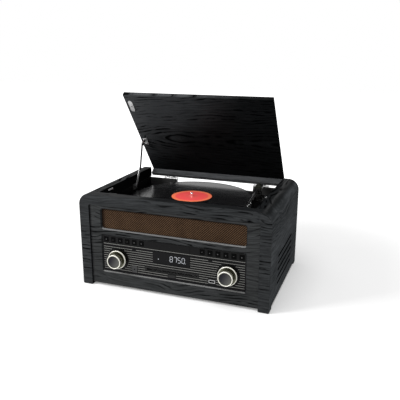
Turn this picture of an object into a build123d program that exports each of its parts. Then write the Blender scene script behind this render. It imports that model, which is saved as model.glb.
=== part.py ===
"""Stereo music centre: wood-cased record player, radio and disc player with a propped lid.

Millimetres.  +X is to the listener's right, +Y to the back, +Z up, Z = 0 on the table.
Depths are first written from the cabinet's front edges and then shifted by FRONT, so that
the origin lies under the middle of the whole piece with its lid open.
"""
from build123d import *
import math
import os

os.makedirs("parts", exist_ok=True)

# ---------------------------------------------------------------- driving dimensions
# cabinet
WIDTH = 454.0            # outside of the two side walls
DEPTH = 308.0            # side walls, front edge to back edge
HEIGHT = 225.0           # table to the top face
WALL = 25.0              # side walls and top plate
TOP_RADIUS = 27.0        # rounded upper long edges
INNER_RADIUS = 4.0       # inside corners under the top plate
EDGE = 1.0               # eased front edges
PAD = 2.0                # felt pads under the four legs
ARCH = 8.0               # side walls are cut up by this between their legs
FRONT_LEG = 24.0         # depth of the front legs
REAR_LEG = 17.0          # depth of the rear legs
WELL_MARGIN = 41.0       # top plate left beside the lid opening
WELL_FRONT = 23.0        # depth of the top plate's front strip

# side vents
VENT_COUNT = 5
VENT_PITCH = 16.2
VENT_SLOT = 3.6
VENT_TOP = 103.0
VENT_FRONT = 79.0
VENT_BACK = 73.0

# front panel with its two windows
PANEL_RECESS = 4.0
PANEL_T = 12.0
PANEL_BOTTOM = 6.5
WINDOW_MARGIN = 29.5     # panel left beside the windows
GRILLE_DOWN = 33.7       # grille window's top below the top face
GRILLE_CORNER = 6.0
WINDOW_GAP = 16.5        # rail between the windows
CONTROL_LOW = 39.5       # control window's lower edge; the grille window takes the height left above it
CONTROL_H = 88.5
CONTROL_CORNER = 2.5
WINDOW_EDGE = 2.4        # bevel round both windows

# fascia
FASCIA_RECESS = 3.0      # behind the front panel's face
FASCIA_T = 3.0
FASCIA_FLANGE = 7.0
LINE_COUNT = 11
LINE_PITCH = 5.4
LINE_UP = 7.1            # lowest line above the window's lower edge
LINE_H = 1.2
LINE_PROUD = 0.4
SPLIT_UP = 68.4
KNOB_IN = 39.0           # knob axis in from the window's end
KNOB_UP = 34.1
KNOB_FIELD_R = 27.0
KNOB_BIG_R = 21.8
KNOB_SMALL_R = 16.5
KNOB_BIG_NOSE = 8.5      # big tier's face in front of the fascia
KNOB_SMALL_NOSE = 24.0   # small tier's face in front of the fascia
KNOB_DISH = 2.0
KNOB_SHAFT_R = 3.0
DISPLAY_HALF = 44.0
DISPLAY_UP = 38.5
DISPLAY_H = 26.0
PLATE_UP = 71.0          # blank gloss plate above the display
PLATE_H = 16.0
SLOT_HALF = 62.0
SLOT_UP = 19.3
SLOT_H = 4.8
SLOT_LIP = 1.6
KEY_COUNT = 6            # on each side of the blank plate
KEY_PITCH = 18.0
KEY_IN = 9.4             # outermost key in from the window's end
KEY_UP = 78.8
KEY_W = 10.6
KEY_H = 11.6
KEY_PROUD = 1.2
KEY_GAP = 0.3
EJECT_X = 1.0
EJECT_UP = 9.9
EJECT_W = 17.0
EJECT_H = 7.0
PHONES_FROM_KNOB = 41.5
PHONES_UP = 13.7
PHONES_R = 1.8
PHONES_DEPTH = 14.0
USB_FROM_KNOB = 37.0
USB_UP = 12.9
USB_DEPTH = 15.0
LENS_FROM_KNOB = 41.5    # two small round lenses: remote sensor and power light
LENS_UP = 61.1
LENS_R = 2.6

# loudspeakers
CLOTH_T = 1.2
CLOTH_DEEP = 4.6         # cloth behind the front panel's face
BAFFLE_T = 3.0
SPEAKER_IN = 60.5        # speaker axis in from the window's end
SPEAKER_GAP = 0.5        # between the drivers and the deck above them
SPEAKER_R = 25.0
CONE_R = 21.0
MAGNET_R = 17.0
SPEAKER_DEEP = 30.0

# disc drive, boards and transformer
DRIVE_HALF = 66.0
DRIVE_L = 158.0
DRIVE_H = 28.0
DRIVE_MOUTH = 8.0
DRIVE_LEG_R = 5.0
AMP_W = 100.0
AMP_L = 160.0
AMP_IN = 17.0            # from the left wall
AMP_FRONT = 60.0
AMP_UP = 8.0
BOARD_SHEET = 1.6
SINK_T = 6.0
SINK_H = 30.0
CAN_R = 6.0
CAN_H = 20.0
SUPPLY_W = 60.0
SUPPLY_L = 50.0
SUPPLY_H = 50.0
SUPPLY_IN = 37.0         # from the right wall
SUPPLY_BACK = 48.0       # from the rear edge

# rear sockets
SOCKET_UP = 36.0         # above the bottom board's underside
SOCKET_R = 5.0
SOCKET_PAIR = 16.0
SOCKET_FIRST = 52.0      # first pair in from the side wall
INLET_IN = 52.0
INLET_W = 20.0
INLET_H = 12.0
ROCKER_IN = 90.0
ROCKER_W = 20.0
ROCKER_H = 16.0
ROCKER_WALL = 1.8
ROCKER_PIN_R = 1.6
BACK_VENTS = 6
BACK_VENT_PITCH = 8.0
BACK_VENT_H = 3.0
BACK_VENT_W = 90.0

# deck, platter and record
DECK_DOWN = 48.0         # deck floor below the top face
DECK_T = 3.0
DECK_WALL = 4.0
DECK_REST_W = 11.5       # wooden rails glued to the side walls
DECK_REST_H = 16.0
SPINDLE_X = -15.0
RECORD_MARGIN = 1.7      # between the record and the well's front
PLATTER_R = 98.0
PLATTER_UP = 2.0         # above the deck
PLATTER_H = 9.4
PLATTER_WALL = 3.5
MAT_T = 2.0
RECORD_R = 150.8
RECORD_T = 1.8
RECORD_HOLE_R = 3.66
LABEL_R = 50.0
LABEL_T = 0.25
SPINDLE_R = 3.6
SPINDLE_RISE = 9.5
SHAFT_R = 3.0
RUNNING = 0.05           # radial clearance of every turning fit
BELT_RIM_R = 60.0
BELT_RIM_T = 3.0
BELT_T = 0.9
BELT_H = 4.0
BELT_GAP = 0.3
PULLEY_R = 6.0
MOTOR_OFFSET = 78.0      # motor axis from the spindle, towards the left front
MOTOR_ANGLE = 215.0
MOTOR_R = 13.0
MOTOR_H = 22.0

# tonearm
ARM_MOUNT = 165.7        # turning axis to spindle
ARM_BACK = 58.0          # turning axis in from the rear edge
ARM_ANGLE = 5.2          # tube turned outwards from straight ahead, on its rest
ARM_REACH = 158.0        # turning axis to stylus
STYLUS_DROP = 9.4        # tube axis to stylus tip
STYLUS_GAP = 0.4         # stylus tip above the record with the arm down
TURRET_R = 13.0
TURRET_H = 10.0
TUBE_R = 3.2
HEAD_L = 36.0
HEAD_W = 15.0
WEIGHT_R = 10.0
WEIGHT_L = 22.0
REST_REACH = 100.0       # turning axis to the arm rest

# lid and its fittings
LID_OPEN = 52.4          # degrees, held by the stay
LID_T = 10.5
LID_GAP = 1.3            # beside and before the lid when it is shut
LID_BACK = 0.3           # the lid's back edge is this much inside the cabinet's
BATTEN_T = 10.0
BATTEN_H = 16.0
PIVOT_BEHIND = 5.0       # hinge axis behind the cabinet
PIVOT_DOWN = 28.5        # hinge axis below the top face
HINGE_IN = 58.0          # hinge middle in from the opening's side
HINGE_W = 42.0
KNUCKLE_R = 3.9
LEAF_T = 1.4
REAR_T = 5.0
REAR_GAP = 1.2           # between the shut lid's batten and the rear panel
NOTCH_SIDE = 17.5        # rear panel's notch beside the record that overhangs it
NOTCH_DROP = 6.9         # notch floor below the record
STAY_T = 1.5
STAY_W = 7.0
STAY_LOW_L = 45.5
STAY_PIN_R = 2.0
STAY_WALL_BACK = 101.5
STAY_WALL_DOWN = 27.5
STAY_LID_REACH = 112.6   # lid bracket's pin from the batten, along the lid
STAY_LID_DOWN = 8.3
STAY_SLACK = 0.8         # the propped stay is this much short of straight

# ---------------------------------------------------------------- worked-out places
HALF = WIDTH / 2
INNER = HALF - WALL
WELL_HALF = HALF - WELL_MARGIN
WINDOW_HALF = INNER - WINDOW_MARGIN
CONTROL_HIGH = CONTROL_LOW + CONTROL_H
GRILLE_LOW = CONTROL_HIGH + WINDOW_GAP
GRILLE_HIGH = HEIGHT - GRILLE_DOWN
KNOB_X = WINDOW_HALF - KNOB_IN
KNOB_Z = CONTROL_LOW + KNOB_UP
DISPLAY_LOW = CONTROL_LOW + DISPLAY_UP
DISPLAY_HIGH = DISPLAY_LOW + DISPLAY_H
SPLIT_LINE_Z = CONTROL_LOW + SPLIT_UP
SLOT_Z = CONTROL_LOW + SLOT_UP
KEY_Z = CONTROL_LOW + KEY_UP
EJECT_Z = CONTROL_LOW + EJECT_UP
PHONES_X = PHONES_FROM_KNOB - KNOB_X
PHONES_Z = CONTROL_LOW + PHONES_UP
USB_X = KNOB_X - USB_FROM_KNOB
USB_Z = CONTROL_LOW + USB_UP
LENS_X = KNOB_X - LENS_FROM_KNOB
LENS_Z = CONTROL_LOW + LENS_UP
SPEAKER_X = WINDOW_HALF - SPEAKER_IN
CLOTH_Y = PANEL_RECESS + CLOTH_DEEP
DECK_Z = HEIGHT - DECK_DOWN
SPEAKER_Z = DECK_Z - DECK_T - SPEAKER_GAP - SPEAKER_R
PLATTER_LOW = DECK_Z + PLATTER_UP
PLATTER_HIGH = PLATTER_LOW + PLATTER_H
SPINDLE_Y = WELL_FRONT + RECORD_R + RECORD_MARGIN
ARM_Y = DEPTH - ARM_BACK
ARM_X = SPINDLE_X + math.sqrt(ARM_MOUNT**2 - (ARM_Y - SPINDLE_Y)**2)
OVERHANG_Y = DEPTH - REAR_T - SPINDLE_Y
OVERHANG_HALF = math.sqrt(max(0.0, RECORD_R**2 - OVERHANG_Y**2))
NOTCH_HALF = abs(SPINDLE_X) + OVERHANG_HALF + NOTCH_SIDE
HINGE_X = WELL_HALF - HINGE_IN
STAY_WALL_Y = DEPTH - STAY_WALL_BACK
HINGE_Y = DEPTH + PIVOT_BEHIND
HINGE_Z = HEIGHT - PIVOT_DOWN
OPEN_RAD = math.radians(LID_OPEN)
PANEL_Y = PANEL_RECESS
PANEL_BACK = PANEL_RECESS + PANEL_T
FASCIA_Y = PANEL_RECESS + FASCIA_RECESS
KNOB_NOSE_Y = FASCIA_Y - KNOB_SMALL_NOSE
REARMOST = HINGE_Y - (PIVOT_BEHIND + LID_BACK) * math.cos(OPEN_RAD) + PIVOT_DOWN * math.sin(OPEN_RAD)
FRONT = -(KNOB_NOSE_Y + REARMOST) / 2
RECORD_Z = PLATTER_HIGH + MAT_T          # underside of the record
NOTCH_Z = RECORD_Z - NOTCH_DROP
ARM_Z = RECORD_Z + RECORD_T + STYLUS_GAP + STYLUS_DROP
BATTEN_LOW = HEIGHT - LID_T - BATTEN_H
REAR_TOP = BATTEN_LOW - REAR_GAP
BOARD_Z = ARCH                            # bottom board stands on this level
BOARD_T = 6.0
FLOOR_Z = BOARD_Z + BOARD_T
SOCKET_Z = BOARD_Z + SOCKET_UP


def block(x0, x1, y0, y1, z0, z1):
    """Box between two corners; y is counted from the cabinet's front edges."""
    return Pos((x0 + x1) / 2, FRONT + (y0 + y1) / 2, (z0 + z1) / 2) * Box(x1 - x0, y1 - y0, z1 - z0)


def pole(x, y, z0, z1, r):
    """Upright cylinder."""
    return Pos(x, FRONT + y, (z0 + z1) / 2) * Cylinder(r, z1 - z0)


def rod_y(x, z, y0, y1, r):
    """Cylinder along the depth."""
    return Pos(x, FRONT + (y0 + y1) / 2, z) * Rot(90, 0, 0) * Cylinder(r, y1 - y0)


def rod_x(x0, x1, y, z, r):
    """Cylinder along the width."""
    return Pos((x0 + x1) / 2, FRONT + y, z) * Rot(0, 90, 0) * Cylinder(r, x1 - x0)


def slab(sketch, y0, y1):
    """Front-view sketch (x right, y up) pushed back from y0 to y1."""
    plane = Plane(origin=(0, FRONT + y1, 0), x_dir=(1, 0, 0), z_dir=(0, -1, 0))
    return extrude(plane * sketch, y1 - y0)


def window(half, low, high, corner):
    """Rounded rectangle in the front view."""
    return Pos(0, (low + high) / 2) * RectangleRounded(2 * half, high - low, corner)


def opened(shape):
    """Swing a lid piece from shut to its propped place."""
    return shape.rotate(Axis((0, FRONT + HINGE_Y, HINGE_Z), (1, 0, 0)), -LID_OPEN)


def opened_point(y, z):
    """Place of a shut lid's point (y, z) once the lid is propped."""
    dy, dz = y - HINGE_Y, z - HINGE_Z
    c, s = math.cos(OPEN_RAD), math.sin(OPEN_RAD)
    return HINGE_Y + c * dy + s * dz, HINGE_Z - s * dy + c * dz


def save(name, *shapes):
    """Write one sub-part; several solids stay separate solids of one node."""
    solids = [s for shape in shapes for s in shape.solids()]
    shape = solids[0] if len(solids) == 1 else Compound(children=solids)
    export_step(shape, f"parts/{name}.step")


# ---------------------------------------------------------------- cabinet
def cabinet_shell():
    """Arched shell of the two side walls and the top plate, with the lid opening and side vents."""
    outer = Pos(0, HEIGHT / 2) * Rectangle(WIDTH, HEIGHT)
    outer = fillet(outer.vertices().group_by(Axis.Y)[-1], TOP_RADIUS)
    inside_h = HEIGHT - WALL
    inner = Pos(0, inside_h / 2) * Rectangle(2 * INNER, inside_h)
    inner = fillet(inner.vertices().group_by(Axis.Y)[-1], INNER_RADIUS)
    shell = slab(outer - inner, 0, DEPTH)
    shell -= block(-HALF - 1, HALF + 1, -1, DEPTH + 1, -1, PAD)
    shell -= block(-HALF - 1, HALF + 1, FRONT_LEG, DEPTH - REAR_LEG, 0, ARCH)
    shell -= block(-WELL_HALF, WELL_HALF, WELL_FRONT, DEPTH + 1, HEIGHT - WALL - 1, HEIGHT + 1)
    for i in range(VENT_COUNT):
        z = VENT_TOP - i * VENT_PITCH
        shell -= block(-HALF - 1, HALF + 1, VENT_FRONT, DEPTH - VENT_BACK, z - VENT_SLOT / 2, z + VENT_SLOT / 2)
    rail_top = DECK_Z - DECK_T
    for side in (-1, 1):
        x0, x1 = sorted((side * (INNER - DECK_REST_W), side * INNER))
        shell += block(x0, x1, PANEL_BACK + 4, DEPTH - REAR_T, rail_top - DECK_REST_H, rail_top)
    front_edges = shell.edges().filter_by(lambda e: abs(e.center().Y - FRONT) < 0.01 and e.center().Z > PAD + 0.1)
    shell = fillet(front_edges, EDGE)
    well = shell.edges().filter_by(lambda e: e.center().Z > HEIGHT - 0.01 and abs(e.center().X) < WELL_HALF + 0.1)
    return chamfer(well.filter_by(lambda e: e.center().Y > FRONT + EDGE + 1), EDGE / 2)


def front_panel():
    """Wood-faced board between the legs with the grille and control windows."""
    board = Pos(0, (PANEL_BOTTOM + HEIGHT - WALL) / 2) * Rectangle(2 * INNER, HEIGHT - WALL - PANEL_BOTTOM)
    board = fillet(board.vertices().group_by(Axis.Y)[-1], INNER_RADIUS)
    grille = window(WINDOW_HALF, GRILLE_LOW, GRILLE_HIGH, GRILLE_CORNER)
    control = window(WINDOW_HALF, CONTROL_LOW, CONTROL_HIGH, CONTROL_CORNER)
    panel = slab(board - grille - control, PANEL_Y, PANEL_BACK)
    face = panel.faces().sort_by(Axis.Y)[0]
    rims = [e for w in face.inner_wires() for e in w.edges()]
    return chamfer(rims, WINDOW_EDGE)


def bottom_board():
    """Board that closes the cabinet below and carries the electronics."""
    return block(-INNER, INNER, PANEL_BACK, DEPTH - REAR_T, BOARD_Z, FLOOR_Z)


def rear_places():
    """Rear sockets as (x, radius), then the middles of the mains inlet and of the power switch."""
    first = SOCKET_FIRST - INNER
    pairs = [first, first + SOCKET_PAIR, first + 2.4 * SOCKET_PAIR, first + 3.4 * SOCKET_PAIR]
    rounds = [(x, SOCKET_R) for x in pairs] + [(first + 5.6 * SOCKET_PAIR, SOCKET_R + 1)]
    return rounds, INNER - INLET_IN, INNER - ROCKER_IN


def rear_panel():
    """Thin back with the record's overhang notch, vents and socket holes."""
    y0, y1 = DEPTH - REAR_T - 1, DEPTH + 1
    panel = block(-INNER, INNER, DEPTH - REAR_T, DEPTH, BOARD_Z, REAR_TOP)
    panel -= block(-NOTCH_HALF, NOTCH_HALF, y0, y1, NOTCH_Z, REAR_TOP + 1)
    rounds, inlet_x, rocker_x = rear_places()
    vent_low = SOCKET_Z + 4 * BACK_VENT_PITCH
    for i in range(BACK_VENTS):
        z = vent_low + i * BACK_VENT_PITCH
        panel -= block(rocker_x - BACK_VENT_W / 2, rocker_x + BACK_VENT_W / 2, y0, y1, z, z + BACK_VENT_H)
    for x, r in rounds:
        panel -= rod_y(x, SOCKET_Z, y0, y1, r + 0.15)
    w, h = INLET_W / 2 + 0.2, INLET_H / 2 + 0.2
    panel -= block(inlet_x - w, inlet_x + w, y0, y1, SOCKET_Z - h, SOCKET_Z + h)
    w, h = ROCKER_W / 2, ROCKER_H / 2
    return panel - block(rocker_x - w, rocker_x + w, y0, y1, SOCKET_Z - h, SOCKET_Z + h)


def foot_pads():
    """Felt pads under the four legs."""
    pads = []
    for side in (-1, 1):
        x0, x1 = sorted((side * (INNER + 1.5), side * (HALF - 1.5)))
        pads.append(block(x0, x1, 1.5, FRONT_LEG - 1.5, 0, PAD))
        pads.append(block(x0, x1, DEPTH - REAR_LEG + 1.5, DEPTH - 1.5, 0, PAD))
    return pads


# ---------------------------------------------------------------- loudspeakers behind the grille
def grille_cloth():
    """Woven cloth stretched over the baffle's raised part."""
    return slab(window(WINDOW_HALF - 0.1, GRILLE_LOW + 0.1, GRILLE_HIGH - 0.1, GRILLE_CORNER), CLOTH_Y, CLOTH_Y + CLOTH_T)


def speaker_baffle():
    """Board behind the front panel; its raised part fills the grille window."""
    high = HEIGHT - WALL
    low = CONTROL_HIGH + FASCIA_FLANGE
    board = block(-INNER + 2, INNER - 2, PANEL_BACK, PANEL_BACK + BAFFLE_T, low, high)
    raised = window(WINDOW_HALF - 0.1, GRILLE_LOW + 0.1, GRILLE_HIGH - 0.1, GRILLE_CORNER)
    board += slab(raised, CLOTH_Y + CLOTH_T, PANEL_BACK)
    for side in (-1, 1):
        board -= rod_y(side * SPEAKER_X, SPEAKER_Z, CLOTH_Y, PANEL_BACK + BAFFLE_T + 1, CONE_R)
    return board


def speakers():
    """Two drivers: flange, basket, cone with its dust cap, and magnet."""
    made = []
    y = PANEL_BACK + BAFFLE_T
    half = SPEAKER_DEEP / 2
    for side in (-1, 1):
        x = side * SPEAKER_X
        body = rod_y(x, SPEAKER_Z, y, y + 2, SPEAKER_R)
        basket = Rot(-90, 0, 0) * Cone(SPEAKER_R - 2, MAGNET_R - 1, half)
        body += Pos(x, FRONT + y + 1 + half / 2, SPEAKER_Z) * basket
        body += rod_y(x, SPEAKER_Z, y + half, y + SPEAKER_DEEP, MAGNET_R)
        body -= Pos(x, FRONT + y + half / 3, SPEAKER_Z) * Rot(-90, 0, 0) * Cone(CONE_R - 1, CONE_R / 2.6, 2 * half / 3)
        made.append(body + Pos(x, FRONT + y + 0.6 * half, SPEAKER_Z) * Sphere(CONE_R / 3))
    return made


# ---------------------------------------------------------------- control fascia
def spans(z):
    """Free stretches of one trim line at height z, between the things it stops at."""
    stops = []
    for side in (-1, 1):
        rise = abs(z - KNOB_Z)
        if rise < KNOB_FIELD_R:
            reach = math.sqrt(KNOB_FIELD_R ** 2 - rise ** 2)
            stops.append((side * KNOB_X - reach, side * KNOB_X + reach))
        if abs(z - LENS_Z) < LENS_R + 2.2:
            stops.append((side * LENS_X - LENS_R - 2.4, side * LENS_X + LENS_R + 2.4))
    if DISPLAY_LOW - 1.5 < z < DISPLAY_HIGH + 1.5:
        stops.append((-DISPLAY_HALF - 1.5, DISPLAY_HALF + 1.5))
    if abs(z - SLOT_Z) < SLOT_H / 2 + SLOT_LIP + 1:
        stops.append((-SLOT_HALF - 4, SLOT_HALF + 4))
    if abs(z - EJECT_Z) < EJECT_H / 2 + 1:
        stops.append((EJECT_X - EJECT_W / 2 - 1.5, EJECT_X + EJECT_W / 2 + 1.5))
    if abs(z - PHONES_Z) < 9.5:
        stops.append((PHONES_X - 7.5, PHONES_X + 7.5))
    if abs(z - USB_Z) < 7.0:
        stops.append((USB_X - 9.0, USB_X + 9.0))
    free, x = [], -WINDOW_HALF + 2
    for a, b in sorted(stops):
        if a - x > 2:
            free.append((x, a))
        x = max(x, b)
    if WINDOW_HALF - 2 - x > 2:
        free.append((x, WINDOW_HALF - 2))
    return free


def trim_lines():
    """Bright metal lines across the fascia, and the full-width one under the keys."""
    bars = []
    for i in range(LINE_COUNT):
        z = CONTROL_LOW + LINE_UP + i * LINE_PITCH
        for a, b in spans(z):
            bars.append(block(a, b, FASCIA_Y - LINE_PROUD, FASCIA_Y, z - LINE_H / 2, z + LINE_H / 2))
    end = WINDOW_HALF - 2
    bars.append(block(-end, end, FASCIA_Y - LINE_PROUD, FASCIA_Y, SPLIT_LINE_Z - LINE_H / 2, SPLIT_LINE_Z + LINE_H / 2))
    return bars


def key_places():
    """Centres of the keys, left to right."""
    left = [KEY_IN - WINDOW_HALF + i * KEY_PITCH for i in range(KEY_COUNT)]
    return left + [-x for x in reversed(left)]


def control_fascia():
    """Black moulding in the control window, with a rim behind the front panel."""
    back = PANEL_BACK + 2
    fit = 0.15
    face = window(WINDOW_HALF - fit, CONTROL_LOW + fit, CONTROL_HIGH - fit, CONTROL_CORNER)
    hollow = window(WINDOW_HALF - 2.5, CONTROL_LOW + 2.5, CONTROL_HIGH - 2.5, 1)
    rim = window(WINDOW_HALF + FASCIA_FLANGE, CONTROL_LOW - FASCIA_FLANGE, CONTROL_HIGH + FASCIA_FLANGE, 3)
    body = slab(face, FASCIA_Y, back) + slab(rim, PANEL_BACK, back)
    body -= slab(hollow, FASCIA_Y + FASCIA_T, back + 1)
    body += block(-DISPLAY_HALF, DISPLAY_HALF, FASCIA_Y - 0.6, FASCIA_Y,
                  CONTROL_LOW + PLATE_UP, CONTROL_LOW + PLATE_UP + PLATE_H)
    lip = SlotOverall(2 * (SLOT_HALF + SLOT_LIP), SLOT_H + 2 * SLOT_LIP)
    body += slab(Pos(0, SLOT_Z) * lip, FASCIA_Y - 0.8, FASCIA_Y)
    body -= slab(Pos(0, SLOT_Z) * SlotOverall(2 * SLOT_HALF, SLOT_H), FASCIA_Y - 2, FASCIA_Y + FASCIA_T + 1)
    for x in key_places():
        body -= block(x - KEY_W / 2 - KEY_GAP, x + KEY_W / 2 + KEY_GAP, FASCIA_Y - 1, FASCIA_Y + FASCIA_T + 1,
                      KEY_Z - KEY_H / 2 - KEY_GAP, KEY_Z + KEY_H / 2 + KEY_GAP)
    body -= block(EJECT_X - EJECT_W / 2 - KEY_GAP, EJECT_X + EJECT_W / 2 + KEY_GAP, FASCIA_Y - 1,
                  FASCIA_Y + FASCIA_T + 1, EJECT_Z - EJECT_H / 2 - KEY_GAP, EJECT_Z + EJECT_H / 2 + KEY_GAP)
    body -= block(-DISPLAY_HALF, DISPLAY_HALF, FASCIA_Y - 1, FASCIA_Y + FASCIA_T + 1, DISPLAY_LOW, DISPLAY_HIGH)
    body -= block(PHONES_X - 5, PHONES_X + 5, FASCIA_Y - 1, FASCIA_Y + FASCIA_T + 1, PHONES_Z - 5, PHONES_Z + 5)
    body -= block(USB_X - 7, USB_X + 7, FASCIA_Y - 1, FASCIA_Y + FASCIA_T + 1, USB_Z - 3.6, USB_Z + 3.6)
    for side in (-1, 1):
        body += rod_y(side * LENS_X, LENS_Z, FASCIA_Y - 0.7, FASCIA_Y, LENS_R)
        body -= rod_y(side * KNOB_X, KNOB_Z, FASCIA_Y - 1, FASCIA_Y + FASCIA_T + 1, KNOB_SHAFT_R + 1.5)
        for z in (CONTROL_LOW + 7, SPLIT_LINE_Z - 1):
            body += rod_y(side * (WINDOW_HALF - 6), z, FASCIA_Y + FASCIA_T, BOARD_Y, 2.5)
    return body


BOARD_Y = FASCIA_Y + FASCIA_T + 4.0       # front face of the control board


def control_board():
    """Upright circuit board behind the fascia with its switches and two rotary encoders."""
    half = WINDOW_HALF - 3.2
    board = block(-half, half, BOARD_Y, BOARD_Y + 1.6, CONTROL_LOW + 3, CONTROL_HIGH - 3)
    board -= block(-SLOT_HALF - 6, SLOT_HALF + 6, BOARD_Y - 1, BOARD_Y + 3, CONTROL_LOW + 2, SLOT_Z + 8)
    board -= block(PHONES_X - 9, PHONES_X + 9, BOARD_Y - 1, BOARD_Y + 3, PHONES_Z - 12, PHONES_Z + 10)
    board -= block(USB_X - 10, USB_X + 10, BOARD_Y - 1, BOARD_Y + 3, USB_Z - 12, USB_Z + 8)
    for x in key_places():
        board += block(x - 3, x + 3, BOARD_Y - 1.6, BOARD_Y, KEY_Z - 3, KEY_Z + 3)
    for side in (-1, 1):
        x = side * KNOB_X
        board += block(x - 6, x + 6, BOARD_Y - 3.5, BOARD_Y, KNOB_Z - 6, KNOB_Z + 6)
        board += rod_y(x, KNOB_Z, BOARD_Y + 1.6, BOARD_Y + 6, 5)
        board -= rod_y(x, KNOB_Z, BOARD_Y - 5, BOARD_Y + 4, KNOB_SHAFT_R + RUNNING)
    board += block(-DISPLAY_HALF + 1, DISPLAY_HALF - 1, FASCIA_Y + FASCIA_T + 0.4, BOARD_Y, DISPLAY_LOW + 1, DISPLAY_HIGH - 1)
    return board


def display_lens():
    """Smoked window over the display."""
    return block(-DISPLAY_HALF, DISPLAY_HALF, FASCIA_Y - 0.6, FASCIA_Y + FASCIA_T, DISPLAY_LOW, DISPLAY_HIGH)


def key(x, z, w, h):
    """Push key with a collar behind the fascia."""
    back = FASCIA_Y + FASCIA_T + KEY_GAP
    cap = block(x - w / 2, x + w / 2, FASCIA_Y - KEY_PROUD, back, z - h / 2, z + h / 2)
    face = cap.faces().sort_by(Axis.Y)[0]
    cap = fillet(face.edges(), 0.5)
    return cap + block(x - w / 2 - 1, x + w / 2 + 1, back, back + 1, z - h / 2 - 1, z + h / 2 + 1)


def knob(side):
    """Two-tier turning knob with a dished nose and its shaft."""
    x = side * KNOB_X
    foot = FASCIA_Y - 0.6
    body = rod_y(x, KNOB_Z, FASCIA_Y - KNOB_BIG_NOSE, foot, KNOB_BIG_R)
    body += rod_y(x, KNOB_Z, FASCIA_Y - KNOB_SMALL_NOSE, FASCIA_Y - KNOB_BIG_NOSE, KNOB_SMALL_R)
    body -= rod_y(x, KNOB_Z, FASCIA_Y - KNOB_SMALL_NOSE - 1, FASCIA_Y - KNOB_SMALL_NOSE + KNOB_DISH, KNOB_SMALL_R - 2.8)
    body -= rod_y(x, KNOB_Z, FASCIA_Y - KNOB_BIG_NOSE - 1, FASCIA_Y - KNOB_BIG_NOSE + 1.5, KNOB_BIG_R - 2.4) \
        - rod_y(x, KNOB_Z, FASCIA_Y - KNOB_BIG_NOSE - 2, FASCIA_Y - KNOB_BIG_NOSE + 2, KNOB_SMALL_R)
    return body + rod_y(x, KNOB_Z, foot, BOARD_Y + 3, KNOB_SHAFT_R)


def front_sockets():
    """Headphone jack and USB socket, each with its plate on the fascia."""
    back = FASCIA_Y + FASCIA_T
    jack = block(PHONES_X - 6.3, PHONES_X + 6.3, FASCIA_Y - 1, FASCIA_Y, PHONES_Z - 8.3, PHONES_Z + 8.3)
    jack += block(PHONES_X - 5, PHONES_X + 5, FASCIA_Y, FASCIA_Y + PHONES_DEPTH + 1, PHONES_Z - 5, PHONES_Z + 5)
    jack -= rod_y(PHONES_X, PHONES_Z, FASCIA_Y - 2, FASCIA_Y - 1 + PHONES_DEPTH, PHONES_R)
    usb = block(USB_X - 7.8, USB_X + 7.8, FASCIA_Y - 1, FASCIA_Y, USB_Z - 5.2, USB_Z + 5.2)
    usb += block(USB_X - 7, USB_X + 7, FASCIA_Y, FASCIA_Y + USB_DEPTH, USB_Z - 3.6, USB_Z + 3.6)
    deep = FASCIA_Y + USB_DEPTH - 2
    usb -= block(USB_X - 6.25, USB_X + 6.25, FASCIA_Y - 2, deep, USB_Z - 2.6, USB_Z + 2.6)
    usb += block(USB_X - 5, USB_X + 5, FASCIA_Y + 1.5, deep, USB_Z + 0.3, USB_Z + 2.1)
    return [jack, usb]


def cd_drive():
    """Slot-loading disc mechanism on four legs behind the slot."""
    front = FASCIA_Y + FASCIA_T + 0.3
    body_front, back = front + DRIVE_MOUTH, front + DRIVE_L
    low, high = SLOT_Z - DRIVE_H / 2, SLOT_Z + DRIVE_H / 2
    body = block(-DRIVE_HALF, DRIVE_HALF, body_front, back, low, high)
    mouth = SLOT_H / 2 + 2
    body += block(-SLOT_HALF - 3, SLOT_HALF + 3, front, body_front, SLOT_Z - mouth, SLOT_Z + mouth)
    half = SLOT_HALF - 0.5
    body -= block(-half, half, front - 1, back - 18, SLOT_Z - SLOT_H / 2, SLOT_Z + SLOT_H / 2)
    for x in (DRIVE_LEG_R + 3 - DRIVE_HALF, DRIVE_HALF - DRIVE_LEG_R - 3):
        for y in (body_front + 12, back - 13):
            body += pole(x, y, FLOOR_Z, low, DRIVE_LEG_R)
    return body


# ---------------------------------------------------------------- electronics on the bottom board
def amplifier_board():
    """Amplifier and tuner board with heat sink, capacitors and standoffs."""
    x0 = AMP_IN - INNER
    x1, y0, y1 = x0 + AMP_W, AMP_FRONT, AMP_FRONT + AMP_L
    low = FLOOR_Z + AMP_UP
    top = low + BOARD_SHEET
    board = block(x0, x1, y0, y1, low, top)
    for x in (x0 + 5, x1 - 5):
        for y in (y0 + 6, y1 - 6):
            board += pole(x, y, FLOOR_Z, low, 3.5)
    board += block(x0 + 3, x0 + 3 + SINK_T, y0 + 30, y1 - 30, top, top + SINK_H)
    for i in range(4):
        board += pole(x0 + 27 + 2.6 * CAN_R * i, y1 - 30, top, top + CAN_H, CAN_R)
    return board + block(x0 + 35, x1 - 25, y0 + 30, y0 + 70, top, top + CAN_H / 2)


def power_supply():
    """Mains transformer: core, winding and foot plate."""
    x1, y1 = INNER - SUPPLY_IN, DEPTH - SUPPLY_BACK
    x0, y0 = x1 - SUPPLY_W, y1 - SUPPLY_L
    top = FLOOR_Z + SUPPLY_H
    body = block(x0 - 10, x1 + 10, y0 - 5, y1 + 5, FLOOR_Z, FLOOR_Z + 2)
    body += block(x0, x1, y0, y1, FLOOR_Z + 2, top)
    return body + block(x0 + 10, x1 - 10, y0 - 10, y1 + 10, FLOOR_Z + 10, top - 8)


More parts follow.
